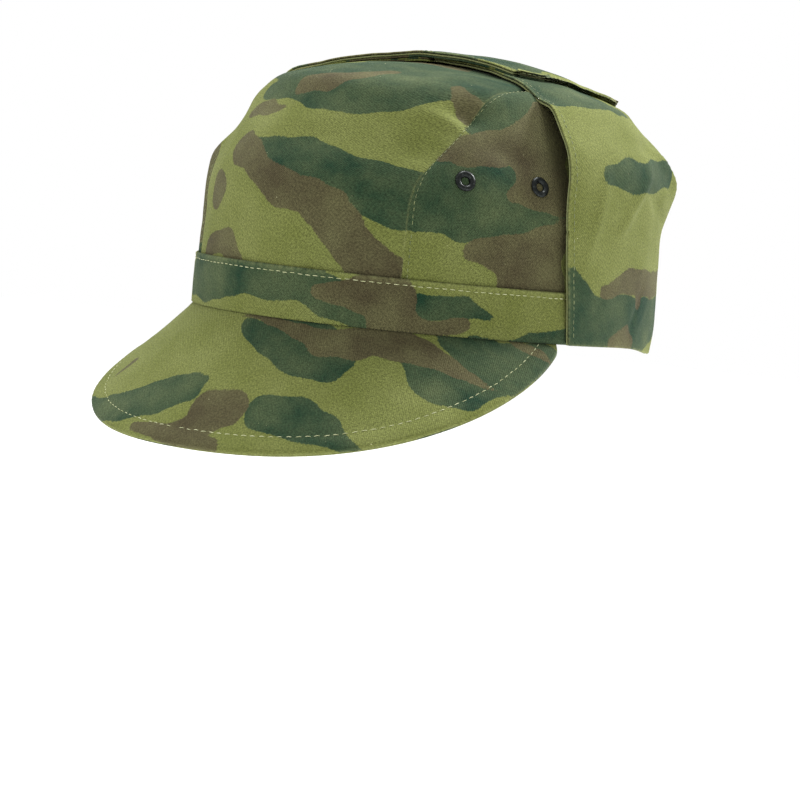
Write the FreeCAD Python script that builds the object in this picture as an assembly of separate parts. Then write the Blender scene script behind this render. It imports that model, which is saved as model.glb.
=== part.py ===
import FreeCAD, Part
import math
import os

# Peaked field cap with an ear and neck flap that is folded up over the crown.
# Millimetres. The origin is the centre of the head opening at the lower edge of the headband,
# +Z points up to the crown, -Y points forward over the visor and +X is the wearer's left.
#
# The cap is oval in plan. Every shell is made as a body of revolution whose radius is measured along X,
# is cut there, and is then stretched along Y by LENGTH_RATIO.

# Head and crown
HALF_WIDTH = 84.0
HALF_LENGTH = 103.0
LENGTH_RATIO = HALF_LENGTH / HALF_WIDTH
CROWN_TOP = 106.0
CLOTH = 1.0
LINING = 0.9
PLY_GAP = 0.1
CROWN_BOTTOM = 0.6
SEAM_X = 52.0
SEAM_GAP = 0.1

# Headband and sweatband
BAND_HEIGHT = 20.0
BAND_CLOTH = 1.2
SWEATBAND_HEIGHT = 32.0
SWEATBAND_CLOTH = 1.1
LABEL = (18.0, 0.4, 14.0)
LABEL_BOTTOM = 9.0
LABEL_INSET = 1.2

# Visor
VISOR_LENGTH = 65.0
VISOR_END_ANGLE = 8.8
VISOR_SLOPE_CENTRE = 50.6
VISOR_SLOPE_SIDE = 33.5
VISOR_SPREAD = 0.57
VISOR_FULLNESS = 2.9
VISOR_TAPER = 0.87
VISOR_TOP_Z = -0.5
VISOR_SECTIONS = 15
VISOR_COVER = 0.9
VISOR_BOARD = 1.6
VISOR_GAP = 0.05
VISOR_BOARD_INSET = 3.0
VISOR_COVER_END = 0.985
VISOR_BOARD_END = 0.9

# Eyelets: angle round the crown from +X and height
EYELET_PLACES = {"front": (-38.5, 60.0), "rear": (-18.5, 60.5)}
EYELET_OUTER_RADIUS = 4.2
EYELET_BARREL_RADIUS = 2.6
EYELET_HOLE_RADIUS = 2.1
EYELET_FLANGE = 0.7
EYELET_ROUND = 0.3
EYELET_CLEARANCE = 0.15
WASHER_CLEARANCE = 0.4
WASHER_FIT = 0.05
CLOTH_HOLE_RADIUS = 2.7
HOLE_INWARDS = -6.0
HOLE_OUTWARDS = 3.0

# Flap: the innermost face of the folded-up flap, and how far the upper tip lies above the lower one
FLAP_WALL = 85.8
FLAP_WALL_TOP = 63.0
FLAP_TOP = 106.4
FLAP_PLY = 0.9
FLAP_BOTTOM = 0.0
TIP_STEP = 3.8
FOLD_Z = 89.0
FOLD_GAP = 0.4
CORNER_GAP = 0.8
REAR_CORNER = (50.0, 88.0)
EAR_TURN = 20.0
LOWER_TIP_END = 4.0
UPPER_TIP_END = 40.0
UPPER_TIP_REAR = 69.0
UPPER_TIP_CORNER = 65.0
FRONT_EDGE = [(-14.0, 0.0), (-21.5, 35.0), (-22.0, 66.0), (-14.0, 90.0), (-8.0, 104.0)]

# Closure strips between the two tips
STRIP = 0.55
STRIP_GAP = 0.05
STRIP_INNER_X = 9.0
STRIP_OUTER_X = 33.0
STRIP_FRONT_Y = 4.0
STRIP_REAR_Y = 46.0

FAR = 400.0

CROWN_FORM = {"wall": HALF_WIDTH, "wall_top": 46.0, "lower": 40.0, "lean": 30.0,
              "slope": 28.0, "upper": 14.0, "top": CROWN_TOP}
LOWER_FLAP_FORM = {"wall": FLAP_WALL, "wall_top": FLAP_WALL_TOP, "lower": 26.0, "lean": 40.0,
                   "slope": 17.0, "upper": 3.0, "top": FLAP_TOP}
UPPER_FLAP_FORM = dict(LOWER_FLAP_FORM, wall_top=FLAP_WALL_TOP + TIP_STEP, top=FLAP_TOP + TIP_STEP)


def save(shape, name):
    """Write one sub-part, after checking that it is a single sound solid."""
    solids = shape.Solids
    if len(solids) == 1:
        shape = solids[0]
    shape.exportStep("parts/%s.step" % name)
    print("%-22s solids %d valid %s volume %9.1f" % (name, len(solids), shape.isValid(), shape.Volume))


def polar(centre, radius, degrees):
    """Point at an angle above the horizontal, in the X-Z plane."""
    angle = math.radians(degrees)
    return (centre[0] + radius * math.cos(angle), centre[1] + radius * math.sin(angle))


def vector(point):
    return FreeCAD.Vector(point[0], 0, point[1])


def arc(centre, radius, start, end):
    points = [vector(polar(centre, radius, degrees)) for degrees in (start, (start + end) / 2, end)]
    return Part.Arc(*points).toShape()


def line(start, end):
    return Part.LineSegment(vector(start), vector(end)).toShape()


def form_centres(form):
    """Centres of the lower and upper arcs and of the dome, and the angle where the dome starts."""
    lower_centre = (form["wall"] - form["lower"], form["wall_top"])
    knee = polar(lower_centre, form["lower"], form["lean"])
    slope_end = polar(knee, form["slope"], form["lean"] + 90)
    upper_centre = polar(slope_end, form["upper"], form["lean"] + 180)
    drop = upper_centre[1] - form["top"]
    dome_radius = (form["upper"] ** 2 - upper_centre[0] ** 2 - drop ** 2) / (2 * (drop + form["upper"]))
    dome_centre = (0.0, form["top"] - dome_radius)
    dome_start = math.degrees(math.atan2(upper_centre[1] - dome_centre[1], upper_centre[0]))
    return lower_centre, upper_centre, dome_centre, dome_radius, dome_start


def side_line(form, offset, bottom):
    """Edges of the outline from the lower edge up to the axis, at a distance outside the form."""
    lower_centre, upper_centre, dome_centre, dome_radius, dome_start = form_centres(form)
    wall = form["wall"] + offset
    lean = form["lean"]
    knee = polar(lower_centre, form["lower"] + offset, lean)
    brow = polar(upper_centre, form["upper"] + offset, lean)
    return [line((wall, bottom), (wall, form["wall_top"])),
            arc(lower_centre, form["lower"] + offset, 0, lean),
            line(knee, brow),
            arc(upper_centre, form["upper"] + offset, lean, dome_start),
            arc(dome_centre, dome_radius + offset, dome_start, 90)]


def shell(form, inner, outer, bottom):
    """Round shell between two offsets of a form, open at the bottom."""
    edges = side_line(form, outer, bottom)
    edges.append(line((0, form["top"] + outer), (0, form["top"] + inner)))
    edges += side_line(form, inner, bottom)
    edges.append(line((form["wall"] + inner, bottom), (form["wall"] + outer, bottom)))
    wire = Part.Wire(Part.__sortEdges__(edges))
    return Part.Face(wire).revolve(FreeCAD.Vector(0, 0, 0), FreeCAD.Vector(0, 0, 1), 360)


def ring(inner_radius, outer_radius, bottom, top):
    outer = Part.makeCylinder(outer_radius, top - bottom, FreeCAD.Vector(0, 0, bottom))
    return outer.cut(Part.makeCylinder(inner_radius, top - bottom, FreeCAD.Vector(0, 0, bottom)))


def stretched(shape):
    """Turn the round working shape into the oval one."""
    matrix = FreeCAD.Matrix()
    matrix.A22 = LENGTH_RATIO
    return shape.transformGeometry(matrix)


def block(x_low, x_high, y_low, y_high, z_low, z_high):
    """Box given in the cap's own coordinates, for use on a shape that isn't stretched yet."""
    corner = FreeCAD.Vector(x_low, y_low / LENGTH_RATIO, z_low)
    return Part.makeBox(x_high - x_low, (y_high - y_low) / LENGTH_RATIO, z_high - z_low, corner)


def beyond(normal_x, normal_y, distance):
    """Everything past an upright plane, for use on a shape that isn't stretched yet."""
    round_normal_y = normal_y * LENGTH_RATIO
    size = math.hypot(normal_x, round_normal_y)
    box = Part.makeBox(FAR, 2 * FAR, 2 * FAR, FreeCAD.Vector(distance / size, -FAR, -FAR))
    box.rotate(FreeCAD.Vector(0, 0, 0), FreeCAD.Vector(0, 0, 1),
               math.degrees(math.atan2(round_normal_y, normal_x)))
    return box


def in_front_of_flap(rise):
    """Space forward of the flap's front edge; rise lifts the part above the wall."""
    points = []
    for y, z in FRONT_EDGE:
        lift = rise if z > 0 else 0.0
        points.append(FreeCAD.Vector(-FAR / 2, y / LENGTH_RATIO, z + lift))
    foot, cheek, widest, brow, end = points
    top = FreeCAD.Vector(-FAR / 2, end.y, FAR / 2)
    bottom = FreeCAD.Vector(-FAR / 2, foot.y, -FAR / 2)
    front_top = FreeCAD.Vector(-FAR / 2, -FAR / 2, FAR / 2)
    front_bottom = FreeCAD.Vector(-FAR / 2, -FAR / 2, -FAR / 2)
    edges = [Part.LineSegment(bottom, foot).toShape(),
             Part.Arc(foot, cheek, widest).toShape(),
             Part.Arc(widest, brow, end).toShape(),
             Part.LineSegment(end, top).toShape(),
             Part.LineSegment(top, front_top).toShape(),
             Part.LineSegment(front_top, front_bottom).toShape(),
             Part.LineSegment(front_bottom, bottom).toShape()]
    return Part.Face(Part.Wire(edges)).extrude(FreeCAD.Vector(FAR, 0, 0))


def mirrored(shape):
    """The same part on the wearer's other side."""
    return shape.mirror(FreeCAD.Vector(0, 0, 0), FreeCAD.Vector(1, 0, 0))


def crown_point(degrees, height):
    """Point on the crown's outer face, in the cap's coordinates, and the direction outwards there."""
    lower_centre = form_centres(CROWN_FORM)[0]
    lean = math.asin((height - CROWN_FORM["wall_top"]) / CROWN_FORM["lower"])
    radius = lower_centre[0] + CROWN_FORM["lower"] * math.cos(lean)
    angle = math.radians(degrees)
    point = FreeCAD.Vector(radius * math.cos(angle), LENGTH_RATIO * radius * math.sin(angle), height)
    outwards = FreeCAD.Vector(math.cos(angle) * math.cos(lean),
                              math.sin(angle) * math.cos(lean) / LENGTH_RATIO,
                              math.sin(lean))
    outwards.normalize()
    return point, outwards


def disc(point, outwards, radius, low, high):
    """Round disc or rod that stands on the crown along the outward direction."""
    return Part.makeCylinder(radius, high - low, point + outwards * low, outwards)


def eyelet_holes():
    """Rods that cut the four holes through the cloth and the lining."""
    holes = []
    for degrees, height in EYELET_PLACES.values():
        point, outwards = crown_point(degrees, height)
        holes.append(disc(point, outwards, CLOTH_HOLE_RADIUS, HOLE_INWARDS, HOLE_OUTWARDS))
    return holes + [mirrored(hole) for hole in holes]


def make_crown():
    cloth = shell(CROWN_FORM, -CLOTH, 0.0, CROWN_BOTTOM)
    strip = cloth.common(block(-SEAM_X + SEAM_GAP, SEAM_X - SEAM_GAP, -FAR, FAR, -FAR, FAR))
    panel = cloth.common(block(SEAM_X, FAR, -FAR, FAR, -FAR, FAR))
    save(stretched(strip), "crown_center_strip")
    left = stretched(panel)
    for hole in eyelet_holes():
        left = left.cut(hole)
    save(left, "side_panel_left")
    save(mirrored(left), "side_panel_right")
    lining_outer = -CLOTH - PLY_GAP
    lining = stretched(shell(CROWN_FORM, lining_outer - LINING, lining_outer, CROWN_BOTTOM))
    for hole in eyelet_holes():
        lining = lining.cut(hole)
    save(lining, "crown_lining")


def make_bands():
    band_inner = HALF_WIDTH + PLY_GAP
    save(stretched(ring(band_inner, band_inner + BAND_CLOTH, 0, BAND_HEIGHT)), "headband")
    sweat_outer = HALF_WIDTH - CLOTH - LINING - 2 * PLY_GAP
    sweat_inner = sweat_outer - SWEATBAND_CLOTH
    save(stretched(ring(sweat_inner, sweat_outer, CROWN_BOTTOM, SWEATBAND_HEIGHT)), "sweatband")
    width, thick, height = LABEL
    inset = sweat_inner * LENGTH_RATIO - LABEL_INSET - thick
    save(Part.makeBox(width, thick, height, FreeCAD.Vector(-width / 2, inset, LABEL_BOTTOM)), "size_label")


def visor_point(spot, along, depth):
    """Point of the visor. spot runs from -1 at one end to 1 at the other, along is the distance from
    the headband down the slope, and depth is the distance below the visor's upper face."""
    angle = math.radians(-90 + spot * (90 - VISOR_END_ANGLE))
    band = HALF_WIDTH + PLY_GAP + BAND_CLOTH / 2
    root = FreeCAD.Vector(band * math.cos(angle), band * LENGTH_RATIO * math.sin(angle), VISOR_TOP_Z)
    outwards = FreeCAD.Vector(LENGTH_RATIO * math.cos(angle), math.sin(angle), 0)
    outwards.normalize()
    heading = outwards * VISOR_SPREAD + FreeCAD.Vector(0, -1, 0) * (1 - VISOR_SPREAD)
    heading.normalize()
    slope = math.radians(VISOR_SLOPE_CENTRE + (VISOR_SLOPE_SIDE - VISOR_SLOPE_CENTRE) * spot ** 2)
    down = heading * math.cos(slope) + FreeCAD.Vector(0, 0, -math.sin(slope))
    through = heading * math.sin(slope) + FreeCAD.Vector(0, 0, math.cos(slope))
    return root + down * along - through * depth


def visor_reach(spot):
    """Width of the visor down its slope."""
    return VISOR_LENGTH * (1 - abs(spot) ** VISOR_FULLNESS) ** VISOR_TAPER


def visor_layer(upper, lower, inset, last_spot):
    """One layer of the visor between two depths, lofted from end to end."""
    wires = []
    for index in range(VISOR_SECTIONS):
        spot = last_spot * math.sin(math.pi / 2 * (2 * index / (VISOR_SECTIONS - 1) - 1))
        reach = visor_reach(spot) - inset
        corners = [visor_point(spot, inset, upper), visor_point(spot, reach, upper),
                   visor_point(spot, reach, lower), visor_point(spot, inset, lower)]
        wires.append(Part.makePolygon(corners + [corners[0]]))
    return Part.makeLoft(wires, True, False)


def make_visor():
    board_top = VISOR_COVER + VISOR_GAP
    board_bottom = board_top + VISOR_BOARD
    under_top = board_bottom + VISOR_GAP
    under_bottom = under_top + VISOR_COVER
    save(visor_layer(0, VISOR_COVER, 0, VISOR_COVER_END), "visor_top_cover")
    save(visor_layer(board_top, board_bottom, VISOR_BOARD_INSET, VISOR_BOARD_END), "visor_board")
    save(visor_layer(under_top, under_bottom, 0, VISOR_COVER_END), "visor_under_cover")


def make_eyelets():
    washer_top = -CLOTH - LINING - 2 * PLY_GAP - WASHER_CLEARANCE
    washer_bottom = washer_top - EYELET_FLANGE
    flange_top = EYELET_CLEARANCE + EYELET_FLANGE
    for place, (degrees, height) in EYELET_PLACES.items():
        point, outwards = crown_point(degrees, height)
        flange = disc(point, outwards, EYELET_OUTER_RADIUS, EYELET_CLEARANCE, flange_top)
        flange = flange.makeFillet(EYELET_ROUND, [edge for edge in flange.Edges if edge.Closed][:1])
        barrel = disc(point, outwards, EYELET_BARREL_RADIUS, washer_bottom, flange_top - EYELET_ROUND)
        bore = disc(point, outwards, EYELET_HOLE_RADIUS, HOLE_INWARDS, HOLE_OUTWARDS)
        eyelet = flange.fuse(barrel).cut(bore)
        washer = disc(point, outwards, EYELET_OUTER_RADIUS, washer_bottom, washer_top)
        barrel_room = EYELET_BARREL_RADIUS + WASHER_FIT
        washer = washer.cut(disc(point, outwards, barrel_room, HOLE_INWARDS, HOLE_OUTWARDS))
        save(eyelet, "eyelet_left_%s" % place)
        save(mirrored(eyelet), "eyelet_right_%s" % place)
        save(washer, "eyelet_washer_left_%s" % place)
        save(mirrored(washer), "eyelet_washer_right_%s" % place)


def rear_corner_plane(side, gap):
    """Space behind the upright plane where the ear part meets the neck part; side is 1 or -1."""
    turn = math.radians(EAR_TURN)
    distance = -math.sin(turn) * REAR_CORNER[0] + math.cos(turn) * REAR_CORNER[1]
    return beyond(-side * math.sin(turn), math.cos(turn), distance + gap)


def ear_half(form, inner, outer, side, rise):
    """Ply of the flap from the band to the top, without the neck part on its own side."""
    own_side = block(-FAR, 0, -FAR, FAR, -FAR, FAR)
    if side > 0:
        own_side = mirrored(own_side)
    ply = shell(form, inner, outer, FLAP_BOTTOM)
    ply = ply.cut(in_front_of_flap(rise))
    return ply.cut(rear_corner_plane(side, -CORNER_GAP / 2).common(own_side))


def make_ear(form, rise, side, name, tip_region):
    """Outer ply and lining ply of one ear flap and of the tip that folds over the crown."""
    fold = FOLD_Z + rise
    plies = {"lining": (0.0, FLAP_PLY), "outer": (FLAP_PLY + PLY_GAP, 2 * FLAP_PLY + PLY_GAP)}
    low = -FAR if side < 0 else 0.0
    high = 0.0 if side < 0 else FAR
    for ply_name, (inner, outer) in plies.items():
        ply = ear_half(form, inner, outer, side, rise)
        wall = ply.common(block(low, high, -FAR, FAR, -FAR, fold - FOLD_GAP / 2))
        tip = ply.common(block(-FAR, FAR, -FAR, FAR, fold + FOLD_GAP / 2, FAR)).common(tip_region)
        save(stretched(wall), "%s_flap_%s" % (name, ply_name))
        save(stretched(tip), "%s_tip_%s" % (name, ply_name))


def upper_tip_region():
    """Plan of the right tip, which crosses over the crown and lies on the left tip."""
    own_side = block(-FAR, 0, -FAR, FAR, -FAR, FAR)
    far_side = block(0, UPPER_TIP_END, -FAR, UPPER_TIP_REAR, -FAR, FAR)
    corner = Part.makeCylinder(UPPER_TIP_CORNER, 2 * FAR, FreeCAD.Vector(0, 0, -FAR))
    return own_side.fuse(far_side.common(corner)).removeSplitter()


def make_flaps():
    lower_tip_region = block(LOWER_TIP_END, FAR, -FAR, FAR, -FAR, FAR)
    make_ear(LOWER_FLAP_FORM, 0.0, 1, "left", lower_tip_region)
    make_ear(UPPER_FLAP_FORM, TIP_STEP, -1, "right", upper_tip_region())
    neck_region = rear_corner_plane(1, CORNER_GAP / 2).common(rear_corner_plane(-1, CORNER_GAP / 2))
    lining = shell(LOWER_FLAP_FORM, 0.0, FLAP_PLY, FLAP_BOTTOM)
    outer = shell(LOWER_FLAP_FORM, FLAP_PLY + PLY_GAP, 2 * FLAP_PLY + PLY_GAP, FLAP_BOTTOM)
    save(stretched(lining.common(neck_region)), "neck_flap_lining")
    save(stretched(outer.common(neck_region)), "neck_flap_outer")


def make_closure():
    area = block(STRIP_INNER_X, STRIP_OUTER_X, STRIP_FRONT_Y, STRIP_REAR_Y, 0, FAR)
    plies = 2 * FLAP_PLY + PLY_GAP
    loop = shell(LOWER_FLAP_FORM, plies + STRIP_GAP, plies + STRIP_GAP + STRIP, FLAP_BOTTOM)
    hook = shell(UPPER_FLAP_FORM, -STRIP_GAP - STRIP, -STRIP_GAP, FLAP_BOTTOM)
    save(stretched(loop.common(area)), "loop_strip")
    save(stretched(hook.common(area)), "hook_strip")


os.makedirs("parts", exist_ok=True)
make_crown()
make_bands()
make_visor()
make_eyelets()
make_flaps()
make_closure()
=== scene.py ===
import math

import bpy
import numpy as np
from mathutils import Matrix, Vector


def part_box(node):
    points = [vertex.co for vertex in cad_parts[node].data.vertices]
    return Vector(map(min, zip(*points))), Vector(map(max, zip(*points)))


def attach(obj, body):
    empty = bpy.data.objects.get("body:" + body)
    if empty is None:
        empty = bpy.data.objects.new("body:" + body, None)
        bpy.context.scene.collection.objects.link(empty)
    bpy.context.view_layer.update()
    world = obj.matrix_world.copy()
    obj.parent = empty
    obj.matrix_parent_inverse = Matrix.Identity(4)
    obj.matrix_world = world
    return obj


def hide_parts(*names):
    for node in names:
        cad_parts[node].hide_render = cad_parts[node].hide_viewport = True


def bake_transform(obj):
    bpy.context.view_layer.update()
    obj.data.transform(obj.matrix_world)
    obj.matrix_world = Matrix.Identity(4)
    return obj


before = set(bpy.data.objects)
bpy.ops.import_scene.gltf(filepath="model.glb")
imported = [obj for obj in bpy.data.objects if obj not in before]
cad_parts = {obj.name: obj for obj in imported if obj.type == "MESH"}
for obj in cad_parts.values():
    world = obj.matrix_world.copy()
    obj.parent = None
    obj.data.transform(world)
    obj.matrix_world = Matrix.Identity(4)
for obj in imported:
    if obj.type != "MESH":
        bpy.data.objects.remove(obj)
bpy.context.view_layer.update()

# All shapes are worked out in millimetres in the frame of the CAD model: +X is the wearer's left,
# -Y points forward over the visor and +Z up to the crown. They are turned into metres in make_mesh.
MM = 0.001
RATIO = 103.0 / 84.0
SEED = 20

CROWN = {"wall": 84.0, "wall_top": 46.0, "lower": 40.0, "lean": 30.0, "slope": 28.0, "upper": 14.0,
         "top": 106.0}
LOWER_FLAP = {"wall": 85.8, "wall_top": 63.0, "lower": 26.0, "lean": 40.0, "slope": 14.0, "upper": 12.0,
              "top": 106.4}
TIP_STEP = 3.8
UPPER_FLAP = dict(LOWER_FLAP, wall_top=LOWER_FLAP["wall_top"] + TIP_STEP, top=LOWER_FLAP["top"] + TIP_STEP)
BAND_TOP = 20.0
BAND_OUTER = 85.3
SWEATBAND_RADIUS = 80.75
SPLIT_Z = 44.0
SEAM_HALF = 51.0
CLOTH_PER_RADIAN = 93.5
SIDES = ((1, "left"), (-1, "right"))


# ---------------------------------------------------------------- lines and directions

def unit(vectors):
    """Vectors brought to length 1."""
    return vectors / np.maximum(np.linalg.norm(vectors, axis=-1, keepdims=True), 1e-9)


def run_length(line):
    """Length along a line, at each of its points."""
    return np.concatenate([[0], np.cumsum(np.linalg.norm(np.diff(line, axis=0), axis=1))])


def turns(count):
    """Angles of a full turn in equal steps."""
    return np.arange(count) * 2 * math.pi / count


def circle_round(out, count):
    """Unit circle of points square to a direction."""
    a = unit(np.cross(out, [0, 0, 1]))
    b = np.cross(out, a)
    angles = turns(count)
    return np.cos(angles)[:, None] * a + np.sin(angles)[:, None] * b


# ---------------------------------------------------------------- outline of the shells

def polar(centre, radius, degrees):
    angle = math.radians(degrees)
    return (centre[0] + radius * math.cos(angle), centre[1] + radius * math.sin(angle))


def arc_points(centre, radius, start, end, count):
    angles = np.radians(np.linspace(start, end, count))
    return np.stack([centre[0] + radius * np.cos(angles), centre[1] + radius * np.sin(angles)], -1)


class Outline:
    """Outline of a shell from the lower edge to the axis, as radius and height along its arc length."""

    def __init__(self, form, offset=0.0, bottom=0.0):
        lower_centre = (form["wall"] - form["lower"], form["wall_top"])
        knee = polar(lower_centre, form["lower"], form["lean"])
        slope_end = polar(knee, form["slope"], form["lean"] + 90)
        upper_centre = polar(slope_end, form["upper"], form["lean"] + 180)
        drop = upper_centre[1] - form["top"]
        dome = (form["upper"] ** 2 - upper_centre[0] ** 2 - drop ** 2) / (2 * (drop + form["upper"]))
        dome_centre = (0.0, form["top"] - dome)
        start = math.degrees(math.atan2(upper_centre[1] - dome_centre[1], upper_centre[0]))
        wall = form["wall"] + offset
        parts = [np.array([[wall, bottom], [wall, form["wall_top"]]]),
                 arc_points(lower_centre, form["lower"] + offset, 0, form["lean"], 40),
                 arc_points(upper_centre, form["upper"] + offset, form["lean"], start, 30),
                 arc_points(dome_centre, dome + offset, start, 90, 200)]
        points = np.vstack([parts[0]] + [p[1:] if i != 1 else p for i, p in enumerate(parts[1:])])
        length = run_length(points)
        self.length = np.linspace(0, length[-1], 1600)
        self.r = np.interp(self.length, length, points[:, 0])
        self.z = np.interp(self.length, length, points[:, 1])

    def at(self, s):
        return np.interp(s, self.length, self.r), np.interp(s, self.length, self.z)

    def length_at_radius(self, radius):
        low = np.searchsorted(-self.r, -self.r[0] + 1e-6)
        return np.interp(-np.asarray(radius, float), -self.r[low:], self.length[low:])

    def z_at_radius(self, radius):
        return np.interp(-np.asarray(radius, float), -self.r, self.z)

    @property
    def total(self):
        return self.length[-1]


def place(r, angle, z):
    """Points from the round working radius, the angle round the cap and the height."""
    return np.stack([r * np.cos(angle), RATIO * r * np.sin(angle), z + 0 * angle], -1)


def form_normals(outline, points):
    """Outward directions of a shell at points near it."""
    r = np.hypot(points[..., 0], points[..., 1] / RATIO)
    s = outline.length_at_radius(np.minimum(r, outline.r[0] - 1e-3))
    on_wall = r >= outline.r[0] - 0.02
    s = np.where(on_wall, np.interp(points[..., 2], outline.z, outline.length), s)
    step = 0.5
    r0, z0 = outline.at(s - step)
    r1, z1 = outline.at(s + step)
    dr, dz = r1 - r0, z1 - z0
    safe = np.maximum(r, 1e-6)
    cos, sin = points[..., 0] / safe, points[..., 1] / RATIO / safe
    n = np.stack([dz * cos, dz * sin / RATIO, -dr], -1)
    return unit(n)


# ---------------------------------------------------------------- smooth noise

def lattice_noise(points, seed):
    """Smooth value noise from -1 to 1 at points given in cells, one value per row."""
    points = np.asarray(points, float)
    cell = np.floor(points).astype(np.int64)
    f = points - cell
    f = f * f * f * (f * (f * 6 - 15) + 10)
    dims = points.shape[-1]
    total = np.zeros(points.shape[:-1])
    for corner in range(2 ** dims):
        bits = [(corner >> d) & 1 for d in range(dims)]
        h = np.full(points.shape[:-1], seed * 374761393 % 4294967291, dtype=np.int64)
        weight = np.ones(points.shape[:-1])
        for d, bit in enumerate(bits):
            h = (h * 668265263 + (cell[..., d] + bit) * (2246822519 + 97 * d)) % 4294967291
            h = (h ^ (h >> 13)) * 1274126177 % 4294967291
            weight = weight * (f[..., d] if bit else 1 - f[..., d])
        total += weight * (h / 4294967291.0 * 2 - 1)
    return total


def fractal(points, size, seed, octaves=3):
    total = 0.0
    gain = 1.0
    for o in range(octaves):
        total = total + gain * lattice_noise(np.asarray(points) / (size / 2 ** o) + 17.3 * o, seed + o)
        gain *= 0.5
    return total


def smoothstep(low, high, x):
    t = np.clip((x - low) / (high - low), 0, 1)
    return t * t * (3 - 2 * t)


def bump(points, centre, radius):
    """1 at a point, falling smoothly to 0; radius may differ along x, y and z."""
    d = (points - np.array(centre, float)) / np.array(radius, float)
    return np.exp(-2.0 * (d ** 2).sum(-1))


def crease(points, start, end, width):
    """1 along a line between two points, falling to 0 at its sides and ends."""
    a, b = np.array(start, float), np.array(end, float)
    t = np.clip(((points - a) @ (b - a)) / ((b - a) @ (b - a)), 0, 1)
    near = a + t[..., None] * (b - a)
    d = np.linalg.norm(points - near, axis=-1)
    fade = np.sin(np.pi * np.clip(t, 0.02, 0.98)) ** 0.5
    return np.exp(-2.0 * (d / width) ** 2) * fade


# ---------------------------------------------------------------- how the cloth gives

def crown_give(p):
    """How far the crown's cloth stands out from its smooth form, in millimetres."""
    d = 0.55 * fractal(p, 46, SEED) + 0.18 * fractal(p, 15, SEED + 5, 2)
    d = d * smoothstep(20, 40, p[..., 2])
    d += 2.4 * bump(p, (-60, -73, 62), (12, 12, 14)) + 2.0 * bump(p, (-50, -64, 86), (14, 14, 9))
    d += 3.8 * crease(p, (26, -70, 84), (56, -54, 80), 5.0)
    d += 1.9 * crease(p, (62, -60, 77), (73, -42, 72), 3.6)
    d += 1.2 * crease(p, (30, -60, 90), (38, -24, 100), 7)
    d -= 3.6 * bump(p, (54, -52, 86), (11, 15, 9))
    d -= 2.8 * bump(p, (48, -74, 72), (11, 11, 9))
    d -= 1.5 * bump(p, (70, -44, 74), (9, 12, 8))
    d -= 1.3 * crease(p, (4, -92, 70), (40, -78, 66), 8)
    d += 1.0 * crease(p, (-20, -92, 72), (20, -86, 80), 9)
    d -= 0.8 * crease(p, (-50, -70, 60), (-10, -100, 34), 7)
    d += 0.7 * crease(p, (-40, -84, 52), (5, -100, 26), 6)
    d -= 0.9 * bump(p, (74, -40, 70), (10, 14, 6))
    d += 0.7 * crease(p, (62, -62, 70), (82, -24, 70), 5)
    d -= 0.7 * crease(p, (64, -66, 46), (84, -20, 36), 7)
    seam = np.abs(np.abs(p[..., 0]) - seam_half_width(p[..., 1]))
    d -= 0.95 * np.exp(-(seam / 1.5) ** 2)
    d += 0.35 * np.exp(-((seam - 3.2) / 2.0) ** 2) * (np.abs(p[..., 0]) > seam_half_width(p[..., 1]))
    d += 0.22 * np.exp(-(seam / 6.0) ** 2) * lattice_noise(p / 5.5, SEED + 9)
    low = np.exp(-((p[..., 2] - BAND_TOP) / 9.0) ** 2)
    d += 0.35 * low * lattice_noise(p[..., :2] / 11.0, SEED + 11)
    return d


def flap_give(p):
    """How far the folded-up flap stands out from its smooth form."""
    z = p[..., 2]
    up = smoothstep(2, 22, z)
    d = up * (0.7 + 0.9 * fractal(p, 40, SEED + 21) + 0.3 * fractal(p, 14, SEED + 25, 2))
    left = smoothstep(10, 40, p[..., 0])
    d += 4.0 * bump(p, (62, 78, 64), (30, 34, 15)) + 2.0 * bump(p, (40, 98, 70), (34, 24, 14))
    d -= 3.2 * bump(p, (60, 84, 42), (26, 26, 10)) * left
    d += 2.6 * crease(p, (84, 36, 0), (79, 56, 50), 3.0) - 2.0 * crease(p, (83, 43, 0), (77, 62, 46), 3.0)
    d += 2.4 * crease(p, (78, 54, 0), (73, 70, 42), 3.2) - 1.8 * crease(p, (84, 28, 2), (84, 42, 40), 3.4)
    d += 1.8 * crease(p, (86, 8, 44), (82, 34, 72), 4.5) - 1.8 * crease(p, (84, 30, 64), (70, 62, 50), 4.5)
    d += (2.4 * crease(p, (76, 40, 84), (66, 70, 64), 5) * left
          - 1.8 * crease(p, (80, 26, 78), (68, 54, 80), 5) * left)
    d += 1.6 * crease(p, (62, 80, 60), (66, 76, 18), 4) * left
    d += 1.0 * crease(p, (87, -12, 26), (86, 0, 72), 4)
    d -= 0.7 * bump(p, (56, 66, 88), (26, 34, 9))
    d += 1.6 * bump(p, (62, 76, 8), (26, 30, 14))
    d += 1.8 * bump(p, (-62, 72, 62), (26, 30, 16)) - 1.0 * bump(p, (-70, 60, 40), (18, 24, 9))
    d += 1.2 * crease(p, (-84, 20, 10), (-80, 40, 56), 5) - 1.0 * crease(p, (-82, 44, 8), (-78, 56, 44), 4)
    d += 2.2 * bump(p, (-84, -16, 52), (20, 16, 34))
    d += 1.3 * crease(p, (-20, 100, 6), (-12, 104, 60), 6) - 1.0 * crease(p, (14, 104, 8), (20, 98, 66), 6)
    d += 1.0 * crease(p, (34, 100, 4), (30, 98, 40), 4)
    return d


def brow_tuck(p):
    """How far the left flap is drawn in where its front edge turns onto the top."""
    return 2.2 * bump(p, (60, -14, 93), (14, 14, 9))


def hang(p):
    """How far the flap's lower edge hangs down at its rear corner."""
    return 3.6 * bump(p, (64, 66, 0), (32, 42, 16))


def seam_half_width(y):
    """Half the width of the centre strip, which is a little wider where the top turns into the walls."""
    return SEAM_HALF + 4.0 * np.exp(-((np.abs(y) - 54.0) / 24.0) ** 2)


# ---------------------------------------------------------------- meshes

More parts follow.
